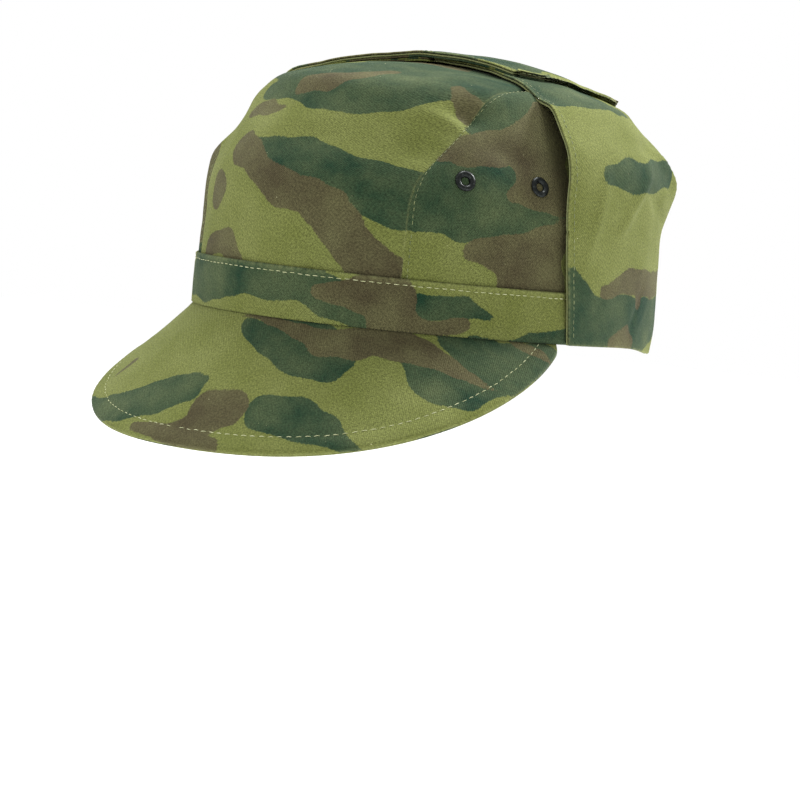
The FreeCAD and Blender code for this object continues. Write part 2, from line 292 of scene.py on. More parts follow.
def make_mesh(name, points, faces, uv=None, attributes=None, smooth=True):
    """Object from points in millimetres and quads; uv is one pair per point."""
    mesh = bpy.data.meshes.new(name)
    points = np.asarray(points, float).reshape(-1, 3)
    faces = np.asarray(faces, int)
    mesh.vertices.add(len(points))
    mesh.vertices.foreach_set("co", (points * MM).astype(np.float32).ravel())
    mesh.loops.add(faces.size)
    mesh.loops.foreach_set("vertex_index", faces.astype(np.int32).ravel())
    mesh.polygons.add(len(faces))
    width = faces.shape[1]
    mesh.polygons.foreach_set("loop_start", np.arange(0, faces.size, width, dtype=np.int32))
    mesh.polygons.foreach_set("loop_total", np.full(len(faces), width, dtype=np.int32))
    mesh.update(calc_edges=True)
    mesh.validate()
    if uv is not None:
        layer = mesh.uv_layers.new(name="UVMap")
        flat = np.asarray(uv, float).reshape(-1, 2)[faces.ravel()] * MM
        layer.data.foreach_set("uv", flat.astype(np.float32).ravel())
    for key, values in (attributes or {}).items():
        a = mesh.attributes.new(key, "FLOAT", "POINT")
        a.data.foreach_set("value", np.asarray(values, np.float32).ravel())
    mesh.polygons.foreach_set("use_smooth", np.full(len(faces), smooth))
    obj = bpy.data.objects.new(name, mesh)
    bpy.context.scene.collection.objects.link(obj)
    return obj


def grid_faces(rows, columns, start=0, closed=False):
    """Quads of a grid of points, counted row by row; closed joins the last column to the first."""
    i = np.arange(rows - 1)[:, None]
    j = np.arange(columns if closed else columns - 1)[None, :]
    k = (j + 1) % columns
    a, b = i * columns + j, i * columns + k
    c, d = (i + 1) * columns + k, (i + 1) * columns + j
    return np.stack([a, b, c, d], -1).reshape(-1, 4) + start


def grid_normals(p, closed=False):
    """Unit normals of a grid of points by central differences, along rows times columns."""
    du = np.roll(p, -1, 1) - np.roll(p, 1, 1) if closed else np.gradient(p, axis=1)
    dv = np.gradient(p, axis=0)
    return unit(np.cross(du, dv))


def ply(name, outer, normals, thickness, uv, attributes=None, closed=False, lip=0.45,
        flat_start=False, flat_end=False, keep_normals=False):
    """Closed sheet of cloth: an outer grid, an inner one below it, and a rounded rim between them."""
    rows, columns = outer.shape[:2]
    inner = outer - normals * thickness
    middle = outer - normals * thickness * 0.5
    count = rows * columns
    points = [outer.reshape(-1, 3), inner.reshape(-1, 3)]
    uvs = [uv.reshape(-1, 2), uv.reshape(-1, 2)]
    faces = [grid_faces(rows, columns, 0, closed), grid_faces(rows, columns, count, closed)[:, ::-1]]
    index = np.arange(count).reshape(rows, columns)
    if closed:
        loops = [index[0], index[-1][::-1]]
    else:
        loops = [np.concatenate([index[0, :-1], index[:-1, -1], index[-1, :0:-1], index[:0:-1, 0]])]
    total = 2 * count
    extra = []
    flat_middle = middle.reshape(-1, 3)
    inward = np.zeros_like(outer)
    inward[0] = outer[0] - outer[1]
    inward[-1] = outer[-1] - outer[-2]
    if not closed:
        side = np.zeros_like(outer)
        side[:, 0] = outer[:, 0] - outer[:, 1]
        side[:, -1] = outer[:, -1] - outer[:, -2]
        inward = unit(unit(inward) + unit(side))
    else:
        inward = unit(inward)
    if flat_start:
        inward[0] = 0
    if flat_end:
        inward[-1] = 0
    flat_out = inward.reshape(-1, 3)
    for loop in loops:
        rim = flat_middle[loop] + flat_out[loop] * thickness * lip
        ids = total + np.arange(len(loop))
        total += len(loop)
        points.append(rim)
        uvs.append(uv.reshape(-1, 2)[loop])
        extra.append(loop)
        nxt = np.roll(np.arange(len(loop)), -1)
        o0, o1 = loop, loop[nxt]
        m0, m1 = ids, ids[nxt]
        i0, i1 = loop + count, loop[nxt] + count
        faces.append(np.stack([o1, o0, m0, m1], -1))
        faces.append(np.stack([m1, m0, i0, i1], -1))
    faces = np.vstack(faces)
    packed = {}
    for key, values in (attributes or {}).items():
        v = values.reshape(-1)
        packed[key] = np.concatenate([v, v] + [v[l] for l in extra])
    obj = make_mesh(name, np.vstack(points), faces, np.vstack(uvs), packed)
    if keep_normals:
        facing = normals.reshape(-1, 3)
        rims = [np.where(np.abs(flat_out[l]).sum(1, keepdims=True) > 0, flat_out[l], facing[l])
                for l in extra]
        obj.data.normals_split_custom_set_from_vertices(np.vstack([facing, -facing] + rims))
    return obj


def spaced(length, step, edge=0.5):
    """Shares of a length, with a narrow first and last step for a crisp edge."""
    n = max(2, int(round((length - 2 * edge) / step)))
    s = np.concatenate([[0], np.linspace(edge, length - edge, n + 1), [length]])
    return s / length


def resample(line, shares):
    """Points of a dense line at shares of its length."""
    d = run_length(line)
    return np.stack([np.interp(shares * d[-1], d, line[:, k]) for k in range(line.shape[1])], -1)


# ---------------------------------------------------------------- camouflage

def stroke_distance(uv, strokes, seed):
    """Signed distance in millimetres to a union of strokes, each a list of (u, v, half width)."""
    warp = np.stack([fractal(uv, 16, seed, 2), fractal(uv + 300, 16, seed + 3, 2)], -1) * 2.0
    p = uv + warp
    best = np.full(uv.shape[:-1], 60.0)
    for stroke in strokes:
        pts = stroke if len(stroke) > 1 else [stroke[0], stroke[0]]
        for (u0, v0, w0), (u1, v1, w1) in zip(pts[:-1], pts[1:]):
            a, b = np.array([u0, v0]), np.array([u1, v1])
            span = max(float((b - a) @ (b - a)), 1e-6)
            t = np.clip(((p - a) @ (b - a)) / span, 0, 1)
            near = a + t[..., None] * (b - a)
            d = np.linalg.norm(p - near, axis=-1) - (w0 + t * (w1 - w0))
            h = np.clip(0.5 + 0.5 * (best - d) / 4.0, 0, 1)
            best = best * (1 - h) + d * h - 2.0 * h * (1 - h)
    return best


def printed(uv, seed, green=(), brown=(), shown=None):
    """The two print colours as signed distances: from strokes where the photograph shows the cloth, and
    elsewhere a made-up pattern of the same style."""
    stretch = np.array([1.0, 1.7])
    field_g = fractal(uv * stretch, 62, SEED + 40 + seed, 3) + 0.10
    field_b = fractal(uv * stretch + 500, 50, SEED + 60 + seed, 3) - 0.22
    auto_g, auto_b = -18.0 * field_g, -18.0 * field_b
    if shown is None:
        return {"print_green": auto_g, "print_brown": auto_b}
    drawn_g = stroke_distance(uv, green, SEED + 80 + seed)
    drawn_b = stroke_distance(uv, brown, SEED + 90 + seed)
    return {"print_green": auto_g + (drawn_g - auto_g) * shown,
            "print_brown": auto_b + (drawn_b - auto_b) * shown}


# Print where the photograph shows the cloth: each stroke is a run of (across, along, half width) in cloth
# millimetres on its own piece. Most of these numbers were made by a scratch program, which turned places
# read off the photograph into places on the cloth. Only part of them was changed afterwards.
STRIP_GREEN = [
    [(-34, 93, 4), (-19, 96, 9), (1, 98, 13), (20, 98, 16), (29, 106, 18), (40, 114, 16)],
    [(-40, 108, 9), (-14, 116, 16), (8, 128, 18), (30, 136, 18), (50, 122, 14), (56, 108, 8)],
    [(-17, 63, 2), (-4, 61, 5), (8, 60, 8), (23, 55, 9), (37, 51, 11), (48, 47, 12), (58, 46, 12)]]
STRIP_BROWN = [
    [(-10, 95, 4), (2, 99, 7), (11, 106, 7), (16, 116, 4)],
    [(-36, 81, 4), (-24, 82, 4), (-13, 85, 1)],
    [(-27, 63, 6), (-11, 54, 6), (4, 48, 7), (17, 45, 7), (25, 40, 8), (31, 34, 8),
     (36, 27, 7), (41, 22, 7), (50, 17, 7), (58, 12, 7)],
    [(-33, 46, 6), (-37, 38, 4)],
    [(-36, 20, 5), (-23, 22, 6), (-18, 17, 5)],
    [(43, 109, 2), (49, 103, 4), (54, 99, 5), (60, 93, 4)]]
PANEL_GREEN = [
    [(-72, 54, 10), (-61, 55, 11), (-47, 58, 9)],
    [(-80, 41, 8), (-64, 43, 9), (-49, 44, 9), (-34, 44, 7), (-20, 45, 4)],
    [(-58, 80, 6), (-50, 88, 11), (-36, 99, 12), (-18, 103, 11), (-4, 104, 9)]]
PANEL_BROWN = [
    [(-73, 67, 3), (-64, 70, 6), (-50, 71, 8), (-36, 75, 9), (-23, 77, 8), (-10, 78, 7)],
    [(-34, 82, 5), (-22, 88, 7), (-12, 85, 9), (-10, 73, 10), (-14, 60, 9)],
    [(-42, 52, 4), (-33, 55, 9), (-18, 54, 9)],
    [(-38, 64, 5), (-24, 66, 7), (-12, 66, 7)],
    [(-56, 30, 4), (-41, 28, 8), (-26, 30, 10), (-12, 38, 8)],
    [(-38, 19, 8), (-14, 17, 9)]]
BAND_GREEN = [
    [(-204, 12, 9), (-184, 11, 10), (-160, 14, 9), (-140, 16, 8), (-124, 15, 9), (-109, 9, 8), (-99, 5, 6)],
    [(-77, 11, 6), (-60, 11, 4), (-49, 9, 1)],
    [(-56, 0, 2), (-31, -1, 3), (-12, 4, 4)]]
BAND_BROWN = [
    [(-116, 12, 3), (-99, 13, 6), (-88, 13, 9), (-86, 4, 8), (-72, 2, 3), (-59, 3, 3)]]
VISOR_GREEN = [
    [(1, 4, 5), (16, 9, 8), (31, 13, 9), (39, 12, 8), (45, 4, 5)],
    [(12, -1, 2), (25, -2, 4), (33, -5, 4)],
    [(-82, 38, 8), (-72, 41, 9), (-54, 45, 9), (-36, 45, 9), (-19, 42, 10), (-9, 38, 7), (-3, 34, 3)],
    [(30, 42, 9), (43, 39, 10), (55, 38, 8), (67, 39, 4)],
    [(64, -15, 4), (75, -12, 9), (82, -19, 10), (85, -37, 10), (85, -61, 8), (85, -77, 4)],
    [(72, -38, 8), (78, -51, 7)]]
VISOR_BROWN = [
    [(-4, 0, 1), (10, 1, 2), (23, 2, 4), (34, 0, 6), (45, -7, 7), (54, -17, 8), (64, -21, 6),
     (74, -25, 4), (81, -28, 3), (88, -30, 1)],
    [(4, 46, 8), (14, 46, 9), (8, 53, 8), (-5, 60, 5), (-24, 58, 3)],
    [(0, 65, 4), (18, 63, 4)],
    [(-66, 19, 1), (-60, 13, 2)],
    [(81, -64, 3), (87, -71, 3)]]
FLAP_GREEN = [
    [(0, 119, 9), (6, 109, 10), (24, 105, 8), (45, 102, 5), (62, 101, 3)],
    [(10, 122, 10), (30, 119, 12), (50, 115, 10)],
    [(23, 68, 4), (38, 69, 6), (61, 69, 6), (78, 69, 5)],
    [(2, 24, 6), (5, 18, 8), (13, 9, 10), (28, 12, 9), (67, 12, 9), (90, 13, 8)],
    [(2, 4, 7), (30, 3, 7), (60, 4, 7)]]
FLAP_BROWN = [
    [(20, 23, 2), (40, 26, 5), (68, 27, 5), (88, 26, 5)],
    [(49, 20, 4)],
    [(30, 1, 4), (42, 5, 5), (48, 3, 4)]]


# ---------------------------------------------------------------- materials

def linear(*bytes_rgb):
    """Linear colour, with alpha, from red, green and blue of 0 to 255 as a screen shows them."""
    shares = [c / 255 for c in bytes_rgb]
    return tuple(c / 12.92 if c <= 0.04045 else ((c + 0.055) / 1.055) ** 2.4 for c in shares) + (1.0,)


class Nodes:
    """A material and short ways to add and join its nodes."""

    def __init__(self, name):
        self.material = bpy.data.materials.new(name)
        self.material.use_nodes = True
        self.tree = self.material.node_tree
        self.shader = next(n for n in self.tree.nodes if n.type == "BSDF_PRINCIPLED")

    def add(self, kind, inputs=None, **settings):
        node = self.tree.nodes.new(kind)
        for key, value in settings.items():
            setattr(node, key, value)
        for key, value in (inputs or {}).items():
            self.put(node, key, value)
        return node

    def put(self, node, key, value):
        socket = node.inputs[key]
        if isinstance(value, bpy.types.NodeSocket):
            self.tree.links.new(value, socket)
        else:
            socket.default_value = value

    def noise(self, vector, scale, detail=3.0, rough=0.55):
        inputs = {"Vector": vector, "Scale": scale, "Detail": detail, "Roughness": rough}
        return self.add("ShaderNodeTexNoise", inputs).outputs["Fac"]

    def remap(self, value, low, high, to_low=0.0, to_high=1.0, kind="LINEAR"):
        inputs = {"Value": value, "From Min": low, "From Max": high, "To Min": to_low, "To Max": to_high}
        return self.add("ShaderNodeMapRange", inputs, interpolation_type=kind).outputs["Result"]

    def math(self, operation, a, b=0.0):
        node = self.add("ShaderNodeMath", operation=operation)
        self.put(node, 0, a)
        self.put(node, 1, b)
        return node.outputs[0]

    def mix(self, factor, a, b, blend="MIX"):
        node = self.add("ShaderNodeMix", data_type="RGBA", blend_type=blend)
        self.put(node, 0, factor)
        self.put(node, 6, a)
        self.put(node, 7, b)
        return node.outputs[2]

    def weave(self, twill=True):
        """Height of the weave, in cloth millimetres, with slubs and small creases."""
        uv = self.add("ShaderNodeUVMap", uv_map="UVMap").outputs["UV"]
        rotation = (0, 0, math.radians(38 if twill else 0))
        self.cloth = self.mapped({"Vector": uv, "Rotation": rotation, "Scale": (1000, 1000, 1000)})
        ribs = self.waves({"Vector": self.cloth, "Scale": 0.42 if twill else 0.5, "Distortion": 1.1,
                           "Detail": 2.0, "Detail Scale": 1.2})
        threads = self.noise(self.cloth, 1.5, 2.0, 0.6)
        slubs = self.noise(self.mapped({"Vector": self.cloth, "Scale": (0.25, 1.6, 1.0)}), 1.0, 3.0, 0.6)
        fine = self.math("ADD", self.math("MULTIPLY", threads, 0.9), self.math("MULTIPLY", slubs, 0.5))
        return self.math("ADD", self.math("MULTIPLY", ribs, 0.5), fine)

    def mapped(self, inputs):
        return self.add("ShaderNodeMapping", inputs).outputs["Vector"]

    def waves(self, inputs):
        return self.add("ShaderNodeTexWave", inputs, wave_type="BANDS").outputs["Fac"]

    def place_in(self):
        return self.add("ShaderNodeTexCoord").outputs["Object"]

    def mottle(self, colour, shade):
        """Colour made darker and lighter by a shade."""
        grey = self.add("ShaderNodeCombineColor", {"Red": shade, "Green": shade, "Blue": shade})
        return self.mix(1.0, colour, grey.outputs["Color"], "MULTIPLY")

    def surface(self, colour, rough, height, strength, distance):
        relief = self.add("ShaderNodeBump", {"Strength": strength, "Distance": distance, "Height": height})
        self.put(self.shader, "Normal", relief.outputs["Normal"])
        self.put(self.shader, "Base Color", colour)
        self.put(self.shader, "Roughness", rough)
        return self.material

    def finish_cloth(self, colour, height, strength=0.7):
        self.put(self.shader, "Specular IOR Level", 0.08)
        self.put(self.shader, "Sheen Weight", 0.02)
        self.put(self.shader, "Sheen Roughness", 0.4)
        return self.surface(colour, 0.88, height, strength, 0.0003)


PALE = linear(88, 94, 46)
PALE_WORN = linear(146, 150, 100)
DARK = linear(24, 47, 32)
EARTH = linear(61, 56, 38)
SPECK = linear(196, 194, 150)


def camouflage():
    """Printed cotton: pale cloth, green and brown blots over it, worn edges and stray specks."""
    n = Nodes("camouflage_cotton")
    height = n.weave()
    stored = {key: n.add("ShaderNodeAttribute", attribute_name=key).outputs["Fac"]
              for key in ("print_green", "print_brown", "worn")}
    fray = n.math("MULTIPLY", n.math("SUBTRACT", n.noise(n.cloth, 0.9, 3.0), 0.5), 1.6)
    base = PALE
    for key, ink in (("print_green", DARK), ("print_brown", EARTH)):
        mask = n.remap(n.math("ADD", stored[key], fray), -0.28, 0.28, 1.0, 0.0, "SMOOTHSTEP")
        base = n.mix(mask, base, ink)
    cloud = n.noise(n.cloth, 0.035, 4.0, 0.6)
    base = n.mix(n.remap(cloud, 0.35, 0.75, 0.0, 0.2), base, PALE_WORN)
    grain = n.noise(n.cloth, 1.3, 3.0, 0.7)
    base = n.mottle(base, n.remap(grain, 0.36, 0.64, 0.66, 1.34))
    rubbed = n.remap(n.noise(n.cloth, 0.5, 3.0), 0.35, 0.7, 0.03, 0.36)
    base = n.mix(n.math("MULTIPLY", stored["worn"], rubbed), base, PALE_WORN)
    specks = n.remap(n.noise(n.cloth, 0.55, 1.0, 0.4), 0.80, 0.84, 0.0, 0.7)
    return n.finish_cloth(n.mix(specks, base, SPECK), height)


def plain_cloth(name, colour, second, strength=0.6):
    n = Nodes(name)
    height = n.weave(twill=False)
    tone = n.remap(n.noise(n.cloth, 0.05, 4.0, 0.6), 0.3, 0.7)
    shade = n.remap(n.noise(n.cloth, 1.2, 3.0, 0.7), 0.25, 0.75, 0.78, 1.2)
    return n.finish_cloth(n.mottle(n.mix(tone, colour, second), shade), height, strength)


def metal():
    n = Nodes("dark_metal")
    wear = n.noise(n.place_in(), 900.0, 4.0, 0.6)
    base = n.mix(n.remap(wear, 0.55, 0.72, 0.0, 0.5), linear(24, 27, 26), linear(78, 82, 79))
    n.put(n.shader, "Metallic", 0.85)
    return n.surface(base, n.remap(wear, 0.3, 0.7, 0.28, 0.46), wear, 0.25, 0.0001)


def board():
    n = Nodes("visor_board")
    fibre = n.noise(n.place_in(), 700.0, 4.0, 0.7)
    base = n.mix(n.remap(fibre, 0.3, 0.7), linear(176, 166, 146), linear(204, 196, 178))
    return n.surface(base, 0.8, fibre, 0.4, 0.0002)


def thread(name, low, high):
    n = Nodes(name)
    position = n.place_in()
    twist = n.waves({"Vector": position, "Scale": 900.0, "Distortion": 3.0})
    tone = n.noise(position, 260.0, 2.0)
    return n.surface(n.mix(n.remap(tone, 0.35, 0.65), low, high), 0.7, twist, 0.4, 0.0001)


CAMO = camouflage()
LINING = plain_cloth("lining_cotton", linear(122, 126, 84), linear(106, 112, 74))
TAPE = plain_cloth("sweatband_cotton", linear(112, 114, 84), linear(98, 102, 74), strength=0.9)
LABEL = plain_cloth("label_cotton", linear(226, 224, 212), linear(212, 208, 194))
FLEECE = plain_cloth("closure_strip", linear(92, 98, 66), linear(70, 78, 54), strength=1.0)
METAL = metal()
BOARD = board()
THREAD = thread("sewing_thread", linear(132, 136, 88), linear(184, 186, 146))
THREAD_GREEN = thread("sewing_thread_green", linear(80, 90, 56), linear(122, 128, 84))


def dress(obj, material):
    obj.data.materials.clear()
    obj.data.materials.append(material)
    return obj


# ---------------------------------------------------------------- stitches

SKIPPED_SHARE = 0.015


def stitches(name, line, normals, pitch=3.2, length=2.3, thick=0.34, proud=0.14, seed=1, pale=True):
    """A row of stitches along a line on the cloth, each a short rounded thread that dips in at both ends."""
    rng = np.random.default_rng(SEED * 100 + seed)
    d = run_length(line)
    count = int(d[-1] / pitch)
    centre = (np.arange(count) + 0.5) * pitch + rng.uniform(-0.18, 0.18, count)
    keep = rng.uniform(0, 1, count) > SKIPPED_SHARE
    centre = centre[keep]
    rings, around = 5, 6
    angles = turns(around)
    shares = np.linspace(-0.5, 0.5, rings)
    sizes = np.array([0.35, 0.9, 1.0, 0.9, 0.35])
    lifts = np.array([-0.5, 0.35, 1.0, 0.35, -0.5])
    points, faces = [], []
    side_shift = rng.uniform(-0.12, 0.12, len(centre))
    at = lambda values, s: np.stack([np.interp(s, d, values[:, k]) for k in range(3)], -1)
    for n, c in enumerate(centre):
        s = c + shares * length
        p = at(line, s)
        normal = unit(at(normals, s))
        run = unit(at(line, np.array([c + 0.8])) - at(line, np.array([c - 0.8])))
        side = unit(np.cross(normal, run))
        base = p + normal * (proud * lifts)[:, None] + side * side_shift[n]
        ring = base[:, None] + (thick / 2) * sizes[:, None, None] * (
            np.cos(angles)[None, :, None] * side[:, None] + np.sin(angles)[None, :, None] * normal[:, None])
        start = n * rings * around
        points.append(ring.reshape(-1, 3))
        faces.append(grid_faces(rings, around, start, True))
    obj = make_mesh(name, np.vstack(points), np.vstack(faces))
    ends = []
    for n in range(len(centre)):
        start = n * rings * around
        ends.append(list(range(start, start + around))[::-1])
        last = start + (rings - 1) * around
        ends.append(list(range(last, last + around)))
    obj = close_ends(obj, ends)
    obj.data.materials.append(THREAD if pale else THREAD_GREEN)
    return obj


def close_ends(obj, loops):
    """Close the open ends of stitches with small flat caps."""
    mesh = obj.data
    n_loops, n_polys = len(mesh.loops), len(mesh.polygons)
    sizes = [len(l) for l in loops]
    mesh.loops.add(sum(sizes))
    mesh.polygons.add(len(loops))
    vi = np.zeros(len(mesh.loops), np.int32)
    mesh.loops.foreach_get("vertex_index", vi)
    vi[n_loops:] = np.concatenate(loops)
    mesh.loops.foreach_set("vertex_index", vi)
    starts = np.zeros(len(mesh.polygons), np.int32)
    mesh.polygons.foreach_get("loop_start", starts)
    starts[n_polys:] = n_loops + np.concatenate([[0], np.cumsum(sizes)[:-1]])
    mesh.polygons.foreach_set("loop_start", starts)
    mesh.polygons.foreach_set("use_smooth", np.ones(len(mesh.polygons), bool))
    mesh.update(calc_edges=True)
    mesh.validate()
    return obj


# ---------------------------------------------------------------- crown

CROWN_OUT = Outline(CROWN, 0.0, 4.0)
MESH_STEP = 1.9
PANEL_TOP_RADIUS = 70.0


def edge_worn(uv, reach=1.3):
    """1 at the edges of a grid of cloth, falling to 0 a little way in."""
    rows, columns = uv.shape[:2]
    i = np.minimum(np.arange(rows), np.arange(rows)[::-1])[:, None] * MESH_STEP
    j = np.minimum(np.arange(columns), np.arange(columns)[::-1])[None, :] * MESH_STEP
    return np.maximum(np.exp(-(i / reach) ** 2), np.exp(-(j / reach) ** 2))


def strip_section(share):
    """Line over the crown from the front lower edge to the rear one, at a share of the strip's half width."""
    x = share * SEAM_HALF
    end = CROWN_OUT.length_at_radius(max(abs(x), 0.4))
    q = np.linspace(0, 1, 500)
    s = end * (1 - (1 - q) ** 2)
    r, z = CROWN_OUT.at(s)
    y = RATIO * np.sqrt(np.maximum(r ** 2 - x ** 2, 0))
    for _ in range(4):
        x_real = share * seam_half_width(y) * np.ones_like(r)
        y = RATIO * np.sqrt(np.maximum(r ** 2 - x_real ** 2, 0))
    front = np.stack([share * seam_half_width(y), -y, z], -1)
    rear = front[::-1] * np.array([1, -1, 1])
    return np.vstack([front, rear[1:]])


def make_strip():
    across = spaced(103, MESH_STEP)
    shares = across * 2 - 1
    total = np.linalg.norm(np.diff(strip_section(0.5), axis=0), axis=1).sum()
    along = spaced(total, MESH_STEP)
    base = np.stack([resample(strip_section(c), along) for c in shares], 1)
    lengths = np.array([np.linalg.norm(np.diff(strip_section(c), axis=0), axis=1).sum() for c in shares])
    normals = form_normals(CROWN_OUT, base)
    outer = base + normals * crown_give(base)[..., None]
    uv = np.stack([base[..., 0], along[:, None] * lengths[None, :]], -1)
    shown = smoothstep(150, 135, uv[..., 1])
    attributes = printed(uv, 1, STRIP_GREEN, STRIP_BROWN, shown)
    attributes["worn"] = edge_worn(uv)
    obj = ply("crown_strip_cloth", outer, grid_normals(outer), 0.9, uv, attributes)
    dress(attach(obj, "crown"), CAMO)
    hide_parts("crown_center_strip")
    return outer


def seam_angle(s):
    """Angle round the cap of the seam beside the centre strip, at lengths up the crown."""
    r = CROWN_OUT.at(s)[0]
    angle = np.arccos(np.clip(52.0 / r, -1, 1))
    for _ in range(6):
        half = seam_half_width(RATIO * r * np.sin(angle))
        angle = np.arccos(np.clip(half / r, -1, 1))
    return angle


def coons(bottom, top, front, rear, up, across):
    """Patch between four border lines; rows run from bottom to top and columns from front to rear."""
    b, a = up[:, None, None], across[None, :, None]
    ruled = (1 - b) * bottom[None] + b * top[None] + (1 - a) * front[:, None] + a * rear[:, None]
    corners = ((1 - a) * (1 - b) * bottom[0] + a * (1 - b) * bottom[-1]
               + (1 - a) * b * top[0] + a * b * top[-1])
    return ruled - corners


def side_panel_base():
    """Grid of the left side panel on the crown's smooth form, and its places on the cloth."""
    corner = float(CROWN_OUT.length_at_radius(PANEL_TOP_RADIUS))
    up = spaced(corner, MESH_STEP)
    s = up * corner
    lean = seam_angle(s)
    front = np.stack([-lean, s], -1)
    rear = np.stack([lean, s], -1)
    y_corner = RATIO * PANEL_TOP_RADIUS * math.sin(lean[-1])
    y = np.linspace(-y_corner, y_corner, 400)
    x = seam_half_width(y)
    r = np.hypot(x, y / RATIO)
    top_line = np.stack([np.arctan2(y / RATIO, x), CROWN_OUT.length_at_radius(r)], -1)
    top_xyz = np.stack([x, y, CROWN_OUT.z_at_radius(r)], -1)
    d = run_length(top_xyz)
    across = spaced(175, MESH_STEP)
    top = np.stack([np.interp(across * d[-1], d, top_line[:, k]) for k in range(2)], -1)
    bottom = np.stack([(across * 2 - 1) * lean[0], 0 * across], -1)
    chart = coons(bottom, top, front, rear, up, across)
    r, z = CROWN_OUT.at(chart[..., 1])
    return place(r, chart[..., 0], z), np.stack([chart[..., 0] * CLOTH_PER_RADIAN, chart[..., 1]], -1)


EYELETS = {"front": (-38.5, 60.0), "rear": (-18.5, 60.5)}


def eyelet_frame(side, place_name):
    """Centre of an eyelet on the crown's outer face and the direction outwards."""
    degrees, height = EYELETS[place_name]
    lean = math.asin((height - CROWN["wall_top"]) / CROWN["lower"])
    radius = CROWN["wall"] - CROWN["lower"] + CROWN["lower"] * math.cos(lean)
    angle = math.radians(degrees)
    point = np.array([radius * math.cos(angle) * side, RATIO * radius * math.sin(angle), height])
    out = np.array([math.cos(angle) * math.cos(lean) * side, math.sin(angle) * math.cos(lean) / RATIO,
                    math.sin(lean)])
    return point, out / np.linalg.norm(out)


def calm_at_eyelets(points, give):
    """The cloth's give, held flat and a little pressed in under each eyelet."""
    for side in (-1, 1):
        for name in EYELETS:
            centre = eyelet_frame(side, name)[0]
            near = np.exp(-(np.linalg.norm(points - centre, axis=-1) / 7.0) ** 4)
            give = give * (1 - near) - 0.12 * near
    return give


def pierce(obj, radius=2.75, count=28):
    """Cut the round eyelet holes through a sheet of the crown."""
    cutters = []
    for side in (-1, 1):
        for name in EYELETS:
            centre, out = eyelet_frame(side, name)
            ring = circle_round(out, count) * radius
            points = np.vstack([centre + ring - out * 7, centre + ring + out * 4])
            cutter = make_mesh("cutter", points, grid_faces(2, count, 0, True)[:, ::-1])
            close_ends(cutter, [list(range(count)), list(range(count, 2 * count))[::-1]])
            cutters.append(cutter)
    for cutter in cutters:
        m = obj.modifiers.new("hole", "BOOLEAN")
        m.operation = "DIFFERENCE"
        m.solver = "EXACT"
        m.object = cutter
    bpy.context.view_layer.update()
    evaluated = obj.evaluated_get(bpy.context.evaluated_depsgraph_get())
    mesh = bpy.data.meshes.new_from_object(evaluated)
    obj.modifiers.clear()
    old = obj.data
    obj.data = mesh
    mesh.name = old.name
    bpy.data.meshes.remove(old)
    for cutter in cutters:
        bpy.data.objects.remove(cutter)


def make_side_panel(side, word):
    base, uv = side_panel_base()
    if side < 0:
        base = (base * np.array([-1, 1, 1]))[:, ::-1]
        uv = (uv * np.array([-1, 1]))[:, ::-1]
    normals = form_normals(CROWN_OUT, base)
    give = calm_at_eyelets(base, crown_give(base))
    outer = base + normals * give[..., None]
    if side > 0:
        shown = smoothstep(-5, -20, uv[..., 0])
        attributes = printed(uv, 2, PANEL_GREEN, PANEL_BROWN, shown)
    else:
        attributes = printed(uv, 3)
    attributes["worn"] = edge_worn(uv)
    obj = ply("side_panel_%s_cloth" % word, outer, grid_normals(outer), 0.9, uv, attributes)
    pierce(obj)
    dress(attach(obj, "crown"), CAMO)
    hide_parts("side_panel_%s" % word)
    return outer


def make_lining():
    form = Outline(CROWN, -1.15, 4.0)
    last = form.total - 2
    rows = np.concatenate([spaced(last, 3.2)[:-1] * last, [last, form.total - 0.05]])
    angles = turns(190)
    r, z = form.at(rows)
    base = place(r[:, None] * np.ones((1, len(angles))), angles[None, :] * np.ones((len(rows), 1)),
                 z[:, None])
    normals = form_normals(form, base)
    seam = np.abs(np.abs(base[..., 0]) - 50.0)
    give = np.minimum(crown_give(base), 0) - 0.35 * np.exp(-(seam / 2.5) ** 2)
    give = give - 0.25 * (1 + lattice_noise(base / 24.0, SEED + 70))
    give = calm_at_eyelets(base, give)
    outer = base + normals * give[..., None]
    uv = np.stack([angles[None, :] * 80.0 + 0 * z[:, None], rows[:, None] + 0 * angles[None, :]], -1)
    obj = ply("crown_lining_cloth", outer, grid_normals(outer, True), 0.75, uv, None, closed=True)
    pierce(obj)
    dress(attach(obj, "crown"), LINING)
    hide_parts("crown_lining")


def hoop(radius, z, angles):
    """Upright grid round the cap: its points, outward directions, angles and heights."""
    full_z = z[:, None] * np.ones((1, len(angles)))
    full_a = angles[None, :] * np.ones((len(z), 1))
    outwards = place(np.ones_like(full_a), full_a, 0 * full_a) * np.array([1, 1 / RATIO ** 2, 1])
    return place(radius * np.ones_like(full_a), full_a, full_z), unit(outwards), full_a, full_z


def hoop_stitches(name, outer, facing, z, height, seed):
    """A row of stitches all round, at a height of a hoop."""
    row = int(np.argmin(abs(z - height)))
    line, normal = (np.vstack([grid[row], grid[row, :1]]) for grid in (outer, facing))
    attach(stitches(name, line, normal, seed=seed), "crown")


